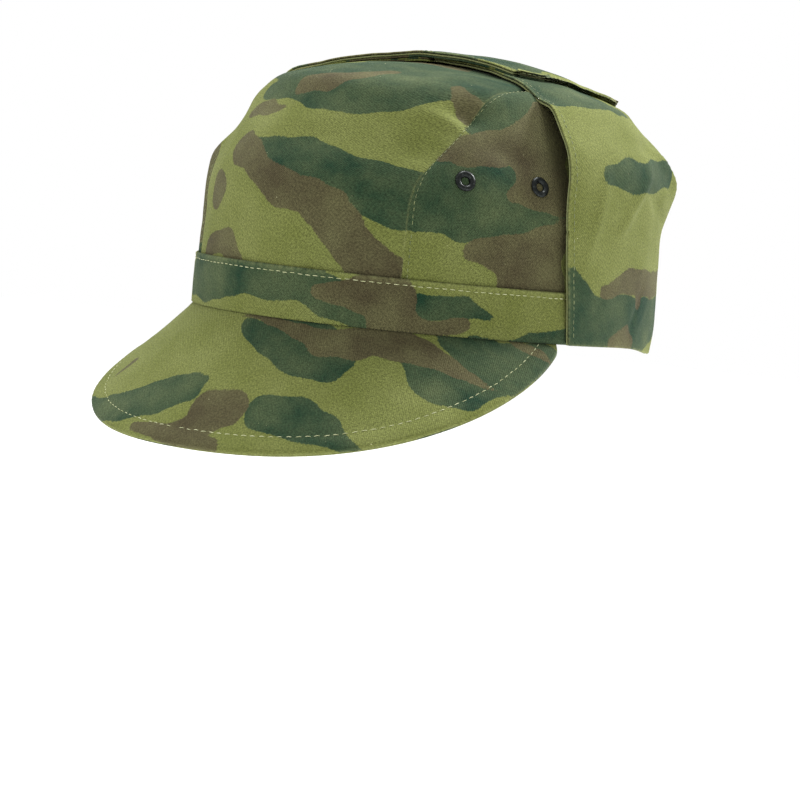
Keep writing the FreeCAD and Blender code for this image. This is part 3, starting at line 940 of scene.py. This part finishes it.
def make_band():
    width, seam_height = 19.6, 17.6
    z = spaced(width, 1.6, 0.4) * width + 0.2
    base, normals, full_a, full_z = hoop(BAND_OUTER, z, turns(330) - math.pi)
    give = 0.18 * lattice_noise(base / 26.0, SEED + 30) + 0.16 * np.exp(-((full_z - 9.5) / 6.5) ** 2)
    give = give - 0.30 * np.exp(-((full_z - seam_height) / 0.9) ** 2)
    puckers = lattice_noise(np.stack([full_a * CLOTH_PER_RADIAN / 5.0, full_z / 9.0], -1), SEED + 31)
    give = give + 0.10 * puckers * smoothstep(8, 18, full_z)
    outer = base + normals * give[..., None]
    uv = np.stack([full_a * CLOTH_PER_RADIAN, full_z], -1)
    shown = smoothstep(-240, -225, uv[..., 0]) * smoothstep(5, -10, uv[..., 0])
    attributes = printed(uv, 4, BAND_GREEN, BAND_BROWN, shown)
    attributes["worn"] = 0.8 * np.exp(-((19.8 - full_z) / 0.7) ** 2)
    obj = ply("headband_cloth", outer, grid_normals(outer, True), 1.05, uv, attributes, closed=True)
    dress(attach(obj, "crown"), CAMO)
    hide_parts("headband")
    hoop_stitches("headband_stitches", outer, normals, z, seam_height, 1)


def make_sweatband():
    width = 31.0
    low_seam, high_seam = 3.4, 28.6
    z = spaced(width, 2.2, 0.4) * width + 0.9
    base, outwards, full_a, full_z = hoop(SWEATBAND_RADIUS, z, -turns(260) + math.pi / 2)
    inwards = -outwards
    give = -0.05 + 0.28 * lattice_noise(np.stack([full_a * 88 / 9.0, full_z / 16.0], -1), SEED + 33)
    give = give - 0.25 * np.exp(-((full_z - low_seam) / 0.9) ** 2)
    give = give - 0.2 * np.exp(-((full_z - high_seam) / 0.9) ** 2)
    outer = base + inwards * give[..., None]
    uv = np.stack([full_a * 90.0, full_z], -1)
    obj = ply("sweatband_tape", outer, grid_normals(outer, True), 0.9, uv, None, closed=True)
    dress(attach(obj, "crown"), TAPE)
    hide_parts("sweatband")
    for word, height, seed in (("lower", low_seam, 2), ("upper", high_seam, 3)):
        hoop_stitches("sweatband_stitches_%s" % word, outer, inwards, z, height, seed)


def make_label():
    low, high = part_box("size_label")
    width = (high.x - low.x) / MM
    bottom, top = low.z / MM, high.z / MM
    per_radian = 99.0
    z = spaced(top - bottom, 1.2, 0.3) * (top - bottom) + bottom
    angles = math.pi / 2 + (1 - 2 * spaced(width, 1.2, 0.3)) * (width / 2 / per_radian)
    base, _, full_a, full_z = hoop(SWEATBAND_RADIUS - 1.1, z, angles)
    curl = 0.5 * ((full_z - bottom) / (top - bottom)) ** 2
    base = base + np.array([0, -1, 0]) * (0.35 - curl * 0.3)[..., None]
    uv = np.stack([full_a * per_radian, full_z], -1)
    obj = ply("size_label_cloth", base, grid_normals(base), 0.3, uv)
    dress(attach(obj, "crown"), LABEL)
    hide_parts("size_label")
    line = base[-2] + np.array([0, 0, -0.8])
    normal = np.tile([0.0, -1.0, 0.0], (len(line), 1))
    row = stitches("size_label_stitches", line, normal, pitch=2.4, length=1.6, seed=4)
    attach(row, "crown")


def turned(name, centre, out, profile, segments=44):
    """Piece turned about the outward direction of an eyelet from a closed outline of (radius, height)."""
    ring = circle_round(out, segments)
    rows = [centre + ring * r + out * h for r, h in profile + profile[:1]]
    faces = grid_faces(len(profile) + 1, segments, 0, True)
    last = len(profile) * segments
    faces = np.where(faces >= last, faces - last, faces)
    return make_mesh(name, np.vstack(rows[:-1]), faces)


def make_eyelets():
    rim = [(1.35, -5.0), (1.4, -1.5), (1.6, 0.1), (1.9, 0.5), (2.3, 0.85), (2.7, 1.05), (3.1, 1.1),
           (3.55, 1.0), (3.95, 0.72), (4.17, 0.4), (4.2, 0.15), (4.05, 0.02), (3.4, 0.05), (2.62, 0.05),
           (2.6, -1.5), (2.6, -3.4), (2.2, -4.9), (1.7, -5.1)]
    back = [(2.68, -3.2), (2.8, -3.3), (3.5, -3.35), (4.0, -3.25), (4.2, -3.0), (4.15, -2.75),
            (3.5, -2.6), (2.75, -2.65)]
    kinds = (("eyelet_rim", rim, "eyelet"), ("eyelet_back", back, "eyelet_washer"))
    for side, word in SIDES:
        for name in EYELETS:
            centre, out = eyelet_frame(side, name)
            for kind, profile, node in kinds:
                obj = turned("%s_%s_%s" % (kind, word, name), centre, out, profile)
                dress(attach(obj, "crown"), METAL)
                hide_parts("%s_%s_%s" % (node, word, name))


# ---------------------------------------------------------------- visor

VISOR_ROOT = 84.7
VISOR_THICK = 3.5
VISOR_STITCH = 8.0
VISOR_REACH = 65.0
VISOR_SLOPE_MIDDLE, VISOR_SLOPE_SIDE = 50.6, 33.5
VISOR_COLUMNS = 150


def visor_frame(spot):
    """Root points of the visor, the way down it and the way out of its upper face, at spots from -1 to 1."""
    angle = np.radians(-90 + spot * (90 - 8.8))
    root = np.stack([VISOR_ROOT * np.cos(angle), VISOR_ROOT * RATIO * np.sin(angle), -0.5 + 0 * angle], -1)
    out = unit(np.stack([RATIO * np.cos(angle), np.sin(angle), 0 * angle], -1))
    heading = unit(out * 0.57 + np.array([0, -1, 0]) * 0.43)
    slope = np.radians(VISOR_SLOPE_MIDDLE + (VISOR_SLOPE_SIDE - VISOR_SLOPE_MIDDLE) * spot ** 2)[..., None]
    up = np.array([0.0, 0.0, 1.0])
    return root, heading * np.cos(slope) - up * np.sin(slope), heading * np.sin(slope) + up * np.cos(slope)


def visor_reach(spot):
    return VISOR_REACH * (1 - np.abs(spot) ** 2.9) ** 0.87


def make_visor_cover(upper):
    even = np.linspace(-1, 1, VISOR_COLUMNS)
    spot = 0.985 * (0.45 * even + 0.55 * np.sin(even * math.pi / 2))
    if upper:
        spot = spot[::-1]
    root, down, through = visor_frame(spot)
    reach = visor_reach(spot)
    half = VISOR_THICK / 2
    tuck = 1.3 if upper else 0.0
    flat = spaced(60, MESH_STEP)
    turn = np.radians(np.array([18, 36, 54, 72, 86]))
    along = np.concatenate([flat[:, None] * (reach - half + tuck)[None, :] - tuck,
                            (reach - half)[None, :] + half * np.sin(turn)[:, None]])
    depth = np.concatenate([0 * flat, half * (1 - np.cos(turn))])[:, None] * np.ones((1, len(spot)))
    edge = root + down * reach[:, None]
    base = root[None] + down[None] * along[..., None]
    gap = np.min(np.linalg.norm(base[:, :, None] - edge[None, None, ::2], axis=-1), axis=2)
    face = smoothstep(half * 0.9, 0, depth)
    give = 0.25 * fractal(base, 34, SEED + 50, 2) + 0.12 * lattice_noise(base / 9.0, SEED + 52)
    give = give - 0.38 * np.exp(-((gap - VISOR_STITCH) / 1.1) ** 2) + 0.28 * np.exp(-((gap - 4.5) / 2.4) ** 2)
    give = give * face * smoothstep(0, 3, along)
    if upper:
        outer = base - through[None] * (depth - give)[..., None]
    else:
        outer = base - through[None] * (VISOR_THICK - depth + give * 0.5)[..., None]
    uv = np.stack([base[..., 0], (-root[:, 1] - VISOR_ROOT * RATIO)[None, :] + along + depth], -1)
    if upper:
        attributes = printed(uv, 5, VISOR_GREEN, VISOR_BROWN, np.ones(uv.shape[:2]))
    else:
        attributes = printed(uv, 6)
    attributes["worn"] = 0.9 * np.exp(-((depth - half) / 0.8) ** 2)
    word = "top" if upper else "under"
    obj = ply("visor_%s_cloth" % word, outer, grid_normals(outer), 0.75, uv, attributes, lip=0.1)
    dress(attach(obj, "crown"), CAMO)
    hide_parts("visor_%s_cover" % word)
    line, normal = [], []
    facing = grid_normals(outer)
    for j in range(len(spot)):
        g = gap[:len(flat), j]
        if g.max() > VISOR_STITCH:
            i = int(np.argmax(g < VISOR_STITCH))
            if i > 0:
                f = (g[i - 1] - VISOR_STITCH) / max(g[i - 1] - g[i], 1e-6)
                line.append(outer[i - 1, j] * (1 - f) + outer[i, j] * f)
                normal.append(facing[i, j])
    row = stitches("visor_stitches_%s" % word, np.array(line), np.array(normal), pitch=3.6, length=2.4,
                   thick=0.3, seed=6 + upper)
    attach(row, "crown")


# ---------------------------------------------------------------- flap

def smooth_curve(x, xs, ys):
    """Smooth line through a few points, at x."""
    xs, ys = np.asarray(xs, float), np.asarray(ys, float)
    slope = np.gradient(ys, xs)
    x = np.clip(x, xs[0], xs[-1])
    i = np.clip(np.searchsorted(xs, x) - 1, 0, len(xs) - 2)
    h = xs[i + 1] - xs[i]
    t = (x - xs[i]) / h
    return ((2 * t ** 3 - 3 * t ** 2 + 1) * ys[i] + (t ** 3 - 2 * t ** 2 + t) * h * slope[i]
            + (3 * t ** 2 - 2 * t ** 3) * ys[i + 1] + (t ** 3 - t ** 2) * h * slope[i + 1])


FRONT_Z = [0.0, 25.0, 45.0, 62.0, 74.0, 84.0, 91.0, 99.0]
FRONT_Y = {1: [-14.0, -18.5, -21.5, -22.8, -22.2, -20.0, -17.8, -15.2],
           -1: [-14.0, -18.5, -21.5, -22.5, -21.5, -19.0, -17.0, -15.5]}
TURN = math.radians(20)
CORNER_PLANE = -math.sin(TURN) * 50.0 + math.cos(TURN) * 88.0
CORNER_HALF_GAP = 0.35
FOLD_SLACK = 0.6
TOP_RADIUS = 66.0
LEFT_TIP_FRONT = -10.0
TIP_END_X = {1: 1.5, -1: 44.0}
TAB_ENDS = (-6.0, 63.0)
LOWEST_GIVE = {1: -0.2, -1: -2.6}
PLIES = (("lining", 0.9, LINING, "lining_cotton"), ("outer", 1.9, CAMO, "camouflage_cotton"))


def rear_angle(r, shift):
    """Angle round the cap of the corner seam at the rear, on the left."""
    a, b = -r * math.sin(TURN), RATIO * r * math.cos(TURN)
    return np.arctan2(b, a) - np.arccos(np.clip((CORNER_PLANE + shift) / np.hypot(a, b), -1, 1))


def half_flap_base(side, rise):
    """Grid of one half of the flap on its smooth form: up the wall, then over to the end of the tip."""
    form = Outline(LOWER_FLAP if side > 0 else UPPER_FLAP)
    low = float(form.length_at_radius(TOP_RADIUS))
    s = spaced(low, MESH_STEP)[:-1] * low
    s = np.append(s[s < low - 1.0], low)
    r, z = form.at(s)
    lift = np.where(z > 0, rise * smoothstep(20, 60, z), 0)
    y_front = smooth_curve(z - lift, FRONT_Z, FRONT_Y[side])
    first = np.arcsin(y_front / (RATIO * r))
    last = rear_angle(r, -CORNER_HALF_GAP - FOLD_SLACK * smoothstep(55, 75, z))
    across = spaced(118, MESH_STEP)
    angle = first[:, None] + across[None, :] * (last - first)[:, None]
    wall = place(r[:, None] * np.ones_like(angle), angle, z[:, None])
    arc = wall[-1, :, :2]
    side_x = side * TIP_END_X[side]
    over = spaced(abs(arc[0, 0] - side_x), MESH_STEP)[1:]
    top_x = arc[0, 0] + over * (side_x - arc[0, 0])
    rear_plane = lambda x: (CORNER_PLANE - CORNER_HALF_GAP + math.sin(TURN) * x) / math.cos(TURN)
    if side > 0:
        front_y = arc[0, 1] + (LEFT_TIP_FRONT - arc[0, 1]) * (1 - (1 - over) ** 3)
        end_y = LEFT_TIP_FRONT + across * (rear_plane(side_x) - LEFT_TIP_FRONT)
        end = np.stack([side_x + 0 * across, end_y], -1)
        rear_x = arc[-1, 0] + over * (end[-1, 0] - arc[-1, 0])
        rear_y = arc[-1, 1] + over * (end[-1, 1] - arc[-1, 1])
    else:
        tab_front = smooth_curve(top_x, [-45.0, -41.0, -33.0, 0.0, 40.0, 70.0],
                                 [TAB_ENDS[0], -9.5, -11.8, -12.8, -13.6, -14.6])
        front_y = tab_front + (arc[0, 1] - tab_front) * smoothstep(0.5, 0.0, over)
        bow = np.abs(across * 2 - 1) ** 5
        end_y = TAB_ENDS[0] + across * (TAB_ENDS[1] - TAB_ENDS[0])
        end = np.stack([side_x + 3.0 * bow - 1.0 * (1 - bow), end_y], -1)
        rear_x = arc[-1, 0] + over * (end[-1, 0] - arc[-1, 0])
        tab_rear = smooth_curve(rear_x, [-45.0, -39.0, -32.0, -14.0, 0.0], [62.0, 66.4, 69.0, 70.6, 71.0])
        rear_y = np.where(rear_x > 0, rear_plane(rear_x) + 1.6 * np.exp(-(rear_x / 9.0) ** 2), tab_rear)
    front = np.stack([top_x, front_y], -1)
    rear = np.stack([rear_x, rear_y], -1)
    front[-1], rear[-1] = end[0], end[-1]
    plan = coons(arc, end, front, rear, over, across)
    radius = np.hypot(plan[..., 0], plan[..., 1] / RATIO)
    top = np.concatenate([plan, form.z_at_radius(radius)[..., None]], -1)
    base = np.concatenate([wall, top], 0)
    v = run_length(base[:, base.shape[1] // 2])
    u = run_length(base[10])
    uv = np.stack([u[None, :] + 0 * v[:, None], v[:, None] + 0 * u[None, :]], -1)
    return form, base, uv


def tip_settles(p):
    """How far the upper tip sinks onto the lower one, and onto the crown beyond the lower one's end."""
    top = smoothstep(88, 98, p[..., 2])
    onto_tip = 1.1 + 0.7 * smoothstep(36, 45, p[..., 0])
    onto_crown = 1.1 + 1.1 * smoothstep(-1, -22, p[..., 0])
    return -top * np.where(p[..., 0] > 0, onto_tip, onto_crown * smoothstep(-72, -52, p[..., 0]))


def make_half_flap(side, word):
    """Both plies of an ear part and its tip; returns the outer ply's grids and what its stitches need."""
    rise = 0.0 if side > 0 else TIP_STEP
    form, base, uv = half_flap_base(side, rise)
    if side < 0:
        base = (base * np.array([-1, 1, 1]))[:, ::-1]
        uv = uv[:, ::-1]
    normals = form_normals(form, base)
    give = flap_give(base)
    if side < 0:
        give = give + tip_settles(base)
    base = base - np.array([0, 0, 1.0]) * hang(base)[..., None]
    bodies = ("crown", "%s_flap" % word, "%s_tip" % word)
    split = int(np.argmin(abs(base[:, 0, 2] - SPLIT_Z)))
    for ply_word, offset, material, slot_name in PLIES:
        surface = base + normals * (offset + np.maximum(give, LOWEST_GIVE[side]) - brow_tuck(base))[..., None]
        facing = grid_normals(surface)
        if ply_word == "outer" and side > 0:
            attributes = printed(uv, 7, FLAP_GREEN, FLAP_BROWN, smoothstep(100, 84, uv[..., 0]))
        else:
            attributes = printed(uv + np.array([0, 40 * offset]), 8 + side)
        attributes["worn"] = edge_worn(uv, reach=1.6)
        for level, (start, stop) in {"flap": (0, split + 1), "tip": (split, len(base))}.items():
            cut = lambda g: g[start:stop]
            name = "%s_%s_%s_cloth" % (word, level, ply_word)
            kept = {key: cut(values) for key, values in attributes.items()}
            obj = ply(name, cut(surface), cut(facing), 0.82, cut(uv), kept,
                      flat_start=level == "tip", flat_end=level == "flap", keep_normals=True)
            dress(obj, material)
            bend(obj, level)
            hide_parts("%s_%s_%s" % (word, level, ply_word))
    if side < 0:
        make_hems(base, normals, give, uv, split)
    return surface, facing, split, bodies, rise


def make_hems(base, normals, give, uv, split):
    """Turned-in seam allowances under the front edge and the end of the right tip."""
    rows, columns = base.shape[:2]
    past_left_tip = int(split + np.argmax(base[split:, -1, 0] > 0.8))
    strips = ((0.0, split + 14, rows - 6, columns - 7, columns),
              (-0.85, split + 14, past_left_tip, columns - 6, columns - 1),
              (-1.7, split + 14, past_left_tip, columns - 5, columns - 1),
              (0.0, rows - 7, rows, 0, columns))
    for number, (offset, first_row, last_row, first_column, last_column) in enumerate(strips):
        cut = lambda g: g[first_row:last_row, first_column:last_column]
        deep = offset + (0.75 * smoothstep(-6, -22, cut(base)[..., 0]) if number == 2 else 0)
        surface = cut(base) + cut(normals) * (deep + np.maximum(cut(give), LOWEST_GIVE[-1]))[..., None]
        obj = ply("right_tip_hem_%d" % number, surface, grid_normals(surface), 0.7, cut(uv),
                  printed(cut(uv), 30 + number), lip=0.3)
        dress(obj, CAMO)
        bend(obj, "tip")


def bend(obj, level):
    """Bake the placement of a piece of flap cloth into its mesh, in the same way for lower and upper cloth.
    """
    if level == "flap":
        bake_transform(obj)
    else:
        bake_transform(obj)


def make_neck():
    """Both plies of the neck part; returns the outer ply's grids."""
    form = Outline(LOWER_FLAP)
    end = float(form.length_at_radius(58.2))
    s = spaced(end, MESH_STEP) * end
    r, z = form.at(s)
    first = rear_angle(r, CORNER_HALF_GAP + FOLD_SLACK * smoothstep(55, 75, z))
    across = spaced(104, MESH_STEP)
    angle = first[:, None] + across[None, :] * (math.pi - 2 * first)[:, None]
    base = place(r[:, None] * np.ones_like(angle), angle, z[:, None])
    normals = form_normals(form, base)
    give = flap_give(base)
    base = base - np.array([0, 0, 1.0]) * hang(base)[..., None]
    uv = np.stack([(angle - math.pi / 2) * 98.0, s[:, None] + 0 * angle], -1)
    for ply_word, offset, material, slot_name in PLIES:
        surface = base + normals * (offset + np.maximum(give, LOWEST_GIVE[1]))[..., None]
        attributes = printed(uv + np.array([0, 40 * offset]), 12)
        attributes["worn"] = edge_worn(uv, reach=1.6)
        facing = grid_normals(surface)
        obj = ply("neck_flap_%s_cloth" % ply_word, surface, facing, 0.82, uv, attributes)
        dress(obj, material)
        bend(obj, "flap")
        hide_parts("neck_flap_%s" % ply_word)
    return surface, facing


def make_closure(side):
    """Hook or loop strip between the tips."""
    form = Outline(LOWER_FLAP if side > 0 else UPPER_FLAP, 1.9 if side > 0 else 0.0)
    x = spaced(24, 1.2, 0.4) * 24 + 9
    y = spaced(42, 1.2, 0.4) * 42 + 4
    plan = np.stack(np.broadcast_arrays(x[None, :], y[:, None]), -1)
    radius = np.hypot(plan[..., 0], plan[..., 1] / RATIO)
    base = np.concatenate([plan, form.z_at_radius(radius)[..., None]], -1)
    normals = form_normals(form, base)
    pile = 0.10 * lattice_noise(plan / 1.6, SEED + 90 + side)
    if side > 0:
        word, kind = "left", "loop"
        surface = base + normals * (np.maximum(flap_give(base), LOWEST_GIVE[1]) + 0.5 + pile)[..., None]
        facing = grid_normals(surface)
    else:
        word, kind = "right", "hook"
        give = np.maximum(flap_give(base) + tip_settles(base), LOWEST_GIVE[-1])
        surface = base + normals * (give - 0.1 - pile)[..., None]
        facing = -grid_normals(surface)[:, ::-1]
        surface, plan = surface[:, ::-1], plan[:, ::-1]
    obj = ply("%s_strip_pile" % kind, surface, facing, 0.5, plan)
    dress(obj, FLEECE)
    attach(obj, "%s_tip" % word)
    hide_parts("%s_strip" % kind)


def flap_stitches(name, line, normal, seed, level):
    obj = stitches(name, line, normal, pitch=2.7, length=1.8, thick=0.32, proud=0.06, seed=seed, pale=False)
    bend(obj, level)


def border_lines(surface, facing, split, inset=2):
    """Lines a little inside the edges of a half flap, below and above the split."""
    rows, columns = surface.shape[:2]
    low = slice(2, split + 1)
    up = np.arange(split, rows - inset)
    j_path = np.concatenate([np.full(len(up), inset), np.arange(inset, columns - inset),
                             np.full(len(up), columns - 1 - inset)])
    i_path = np.concatenate([up, np.full(columns - 2 * inset, rows - inset), up[::-1]])
    return {"flap": [(surface[low, column], facing[low, column]) for column in (inset, -1 - inset)],
            "tip": [(surface[i_path, j_path], facing[i_path, j_path])]}


def make_crown_stitches(panels):
    """Topstitching beside the curved seam of each side panel."""
    for number, (panel, (_, word)) in enumerate(zip(panels, SIDES)):
        facing = grid_normals(panel)
        rows, columns = panel.shape[:2]
        up = np.arange(9, rows - 2)
        over = np.arange(2, columns - 2)
        i_path = np.concatenate([up, np.full(len(over), rows - 3), up[::-1]])
        j_path = np.concatenate([np.full(len(up), 2), over, np.full(len(up), columns - 3)])
        obj = stitches("crown_seam_stitches_%s" % word, panel[i_path, j_path], facing[i_path, j_path],
                       pitch=2.6, length=1.7, thick=0.32, proud=0.08, seed=20 + number, pale=False)
        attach(obj, "crown")


make_strip()
side_panels = [make_side_panel(side, word) for side, word in SIDES]
make_lining()
make_band()
make_sweatband()
make_label()
make_eyelets()
make_visor_cover(True)
make_visor_cover(False)
for flap_side, flap_word in SIDES:
    flap_surface, flap_facing, split_row, body_names, tip_rise = make_half_flap(flap_side, flap_word)
    for level_name, rows_of_stitches in border_lines(flap_surface, flap_facing, split_row).items():
        for number, (stitch_line, stitch_normal) in enumerate(rows_of_stitches):
            flap_stitches("%s_%s_stitches_%d" % (body_names[1], level_name, number), stitch_line,
                          stitch_normal, 40 + flap_side * 5 + number, level_name)
neck_surface, neck_facing = make_neck()
for edge_column, edge_word in ((2, "left"), (-3, "right")):
    flap_stitches("neck_flap_stitches_%s" % edge_word, neck_surface[2:-4, edge_column],
                  neck_facing[2:-4, edge_column], 60 + edge_column, "flap")
make_closure(1)
make_closure(-1)
make_crown_stitches(side_panels)

board_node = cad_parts["visor_board"]
board_node.data.materials.clear()
board_node.data.materials.append(BOARD)


# ---------------------------------------------------------------- studio

FLOOR_Z = -0.26
LIT = Vector((0, 0, 0.05))


def make_floor():
    count = 96
    radii = np.array([0.05, 0.2, 0.5, 1.0, 2.0, 3.2, 4.2, 5.0]) / MM
    angles = turns(count)
    rows = [np.stack([r * np.cos(angles), r * np.sin(angles), FLOOR_Z / MM + 0 * angles], -1) for r in radii]
    floor = make_mesh("studio_floor", np.vstack(rows), grid_faces(len(rows), count, 0, True))
    close_ends(floor, [list(range(count))[::-1]])
    n = Nodes("studio_floor")
    n.put(n.shader, "Base Color", (0.98, 0.98, 0.98, 1.0))
    n.put(n.shader, "Roughness", 0.9)
    n.put(n.shader, "Specular IOR Level", 0.1)
    floor.data.materials.append(n.material)


def soft_light(name, position, size, power):
    data = bpy.data.lights.new(name, "AREA")
    data.shape = "DISK"
    data.size = size
    data.energy = power
    lamp = bpy.data.objects.new(name, data)
    lamp.location = position
    lamp.rotation_mode = "QUATERNION"
    lamp.rotation_quaternion = (LIT - position).to_track_quat("-Z", "Y")
    bpy.context.scene.collection.objects.link(lamp)


AZIMUTH, ELEVATION, ROLL = 38.0, 1.1, 6.0
DISTANCE = 1.5
LOOK = Vector((0, 0, 0.040))
ASIDE = (-0.0122, -0.072)
LENS = 164.0


def make_camera():
    a, e, roll = (math.radians(v) for v in (AZIMUTH, ELEVATION, ROLL))
    back = Vector((math.sin(a) * math.cos(e), -math.cos(a) * math.cos(e), math.sin(e)))
    right = Vector((math.cos(a), math.sin(a), 0))
    up = back.cross(right)
    x_axis = right * math.cos(roll) + up * math.sin(roll)
    y_axis = up * math.cos(roll) - right * math.sin(roll)
    position = LOOK + back * DISTANCE
    aim = LOOK + x_axis * ASIDE[0] + y_axis * ASIDE[1]
    z_axis = (position - aim).normalized()
    x_axis = (x_axis - z_axis * x_axis.dot(z_axis)).normalized()
    y_axis = z_axis.cross(x_axis)
    data = bpy.data.cameras.new("camera")
    data.lens = LENS
    data.sensor_width = 36.0
    data.clip_start, data.clip_end = 0.01, 50.0
    camera = bpy.data.objects.new("camera", data)
    m = camera.matrix_world.to_3x3()
    for row in range(3):
        m[row][0], m[row][1], m[row][2] = x_axis[row], y_axis[row], z_axis[row]
    camera.matrix_world = m.to_4x4()
    camera.location = position
    bpy.context.scene.collection.objects.link(camera)
    bpy.context.scene.camera = camera
    return back, right, up


view_back, view_right, view_up = make_camera()
make_floor()
soft_light("left_light", LIT - view_right * 1.9 - view_back * 0.1 + view_up * 0.7, 0.9, 17)
soft_light("right_light", LIT + view_right * 1.4 - view_back * 0.8 + view_up * 1.4, 0.4, 68)
soft_light("top_light", LIT - view_back * 0.4 + view_up * 2.0, 0.8, 52)
soft_light("front_light", LIT + view_back * 1.8 - view_right * 0.9 + view_up * 1.3, 1.0, 3)

world = bpy.data.worlds.new("studio")
world.use_nodes = True
background = next(n for n in world.node_tree.nodes if n.type == "BACKGROUND")
background.inputs["Color"].default_value = (1.0, 1.0, 1.0, 1.0)
background.inputs["Strength"].default_value = 1.0
bpy.context.scene.world = world
bpy.context.scene.view_settings.view_transform = "Standard"
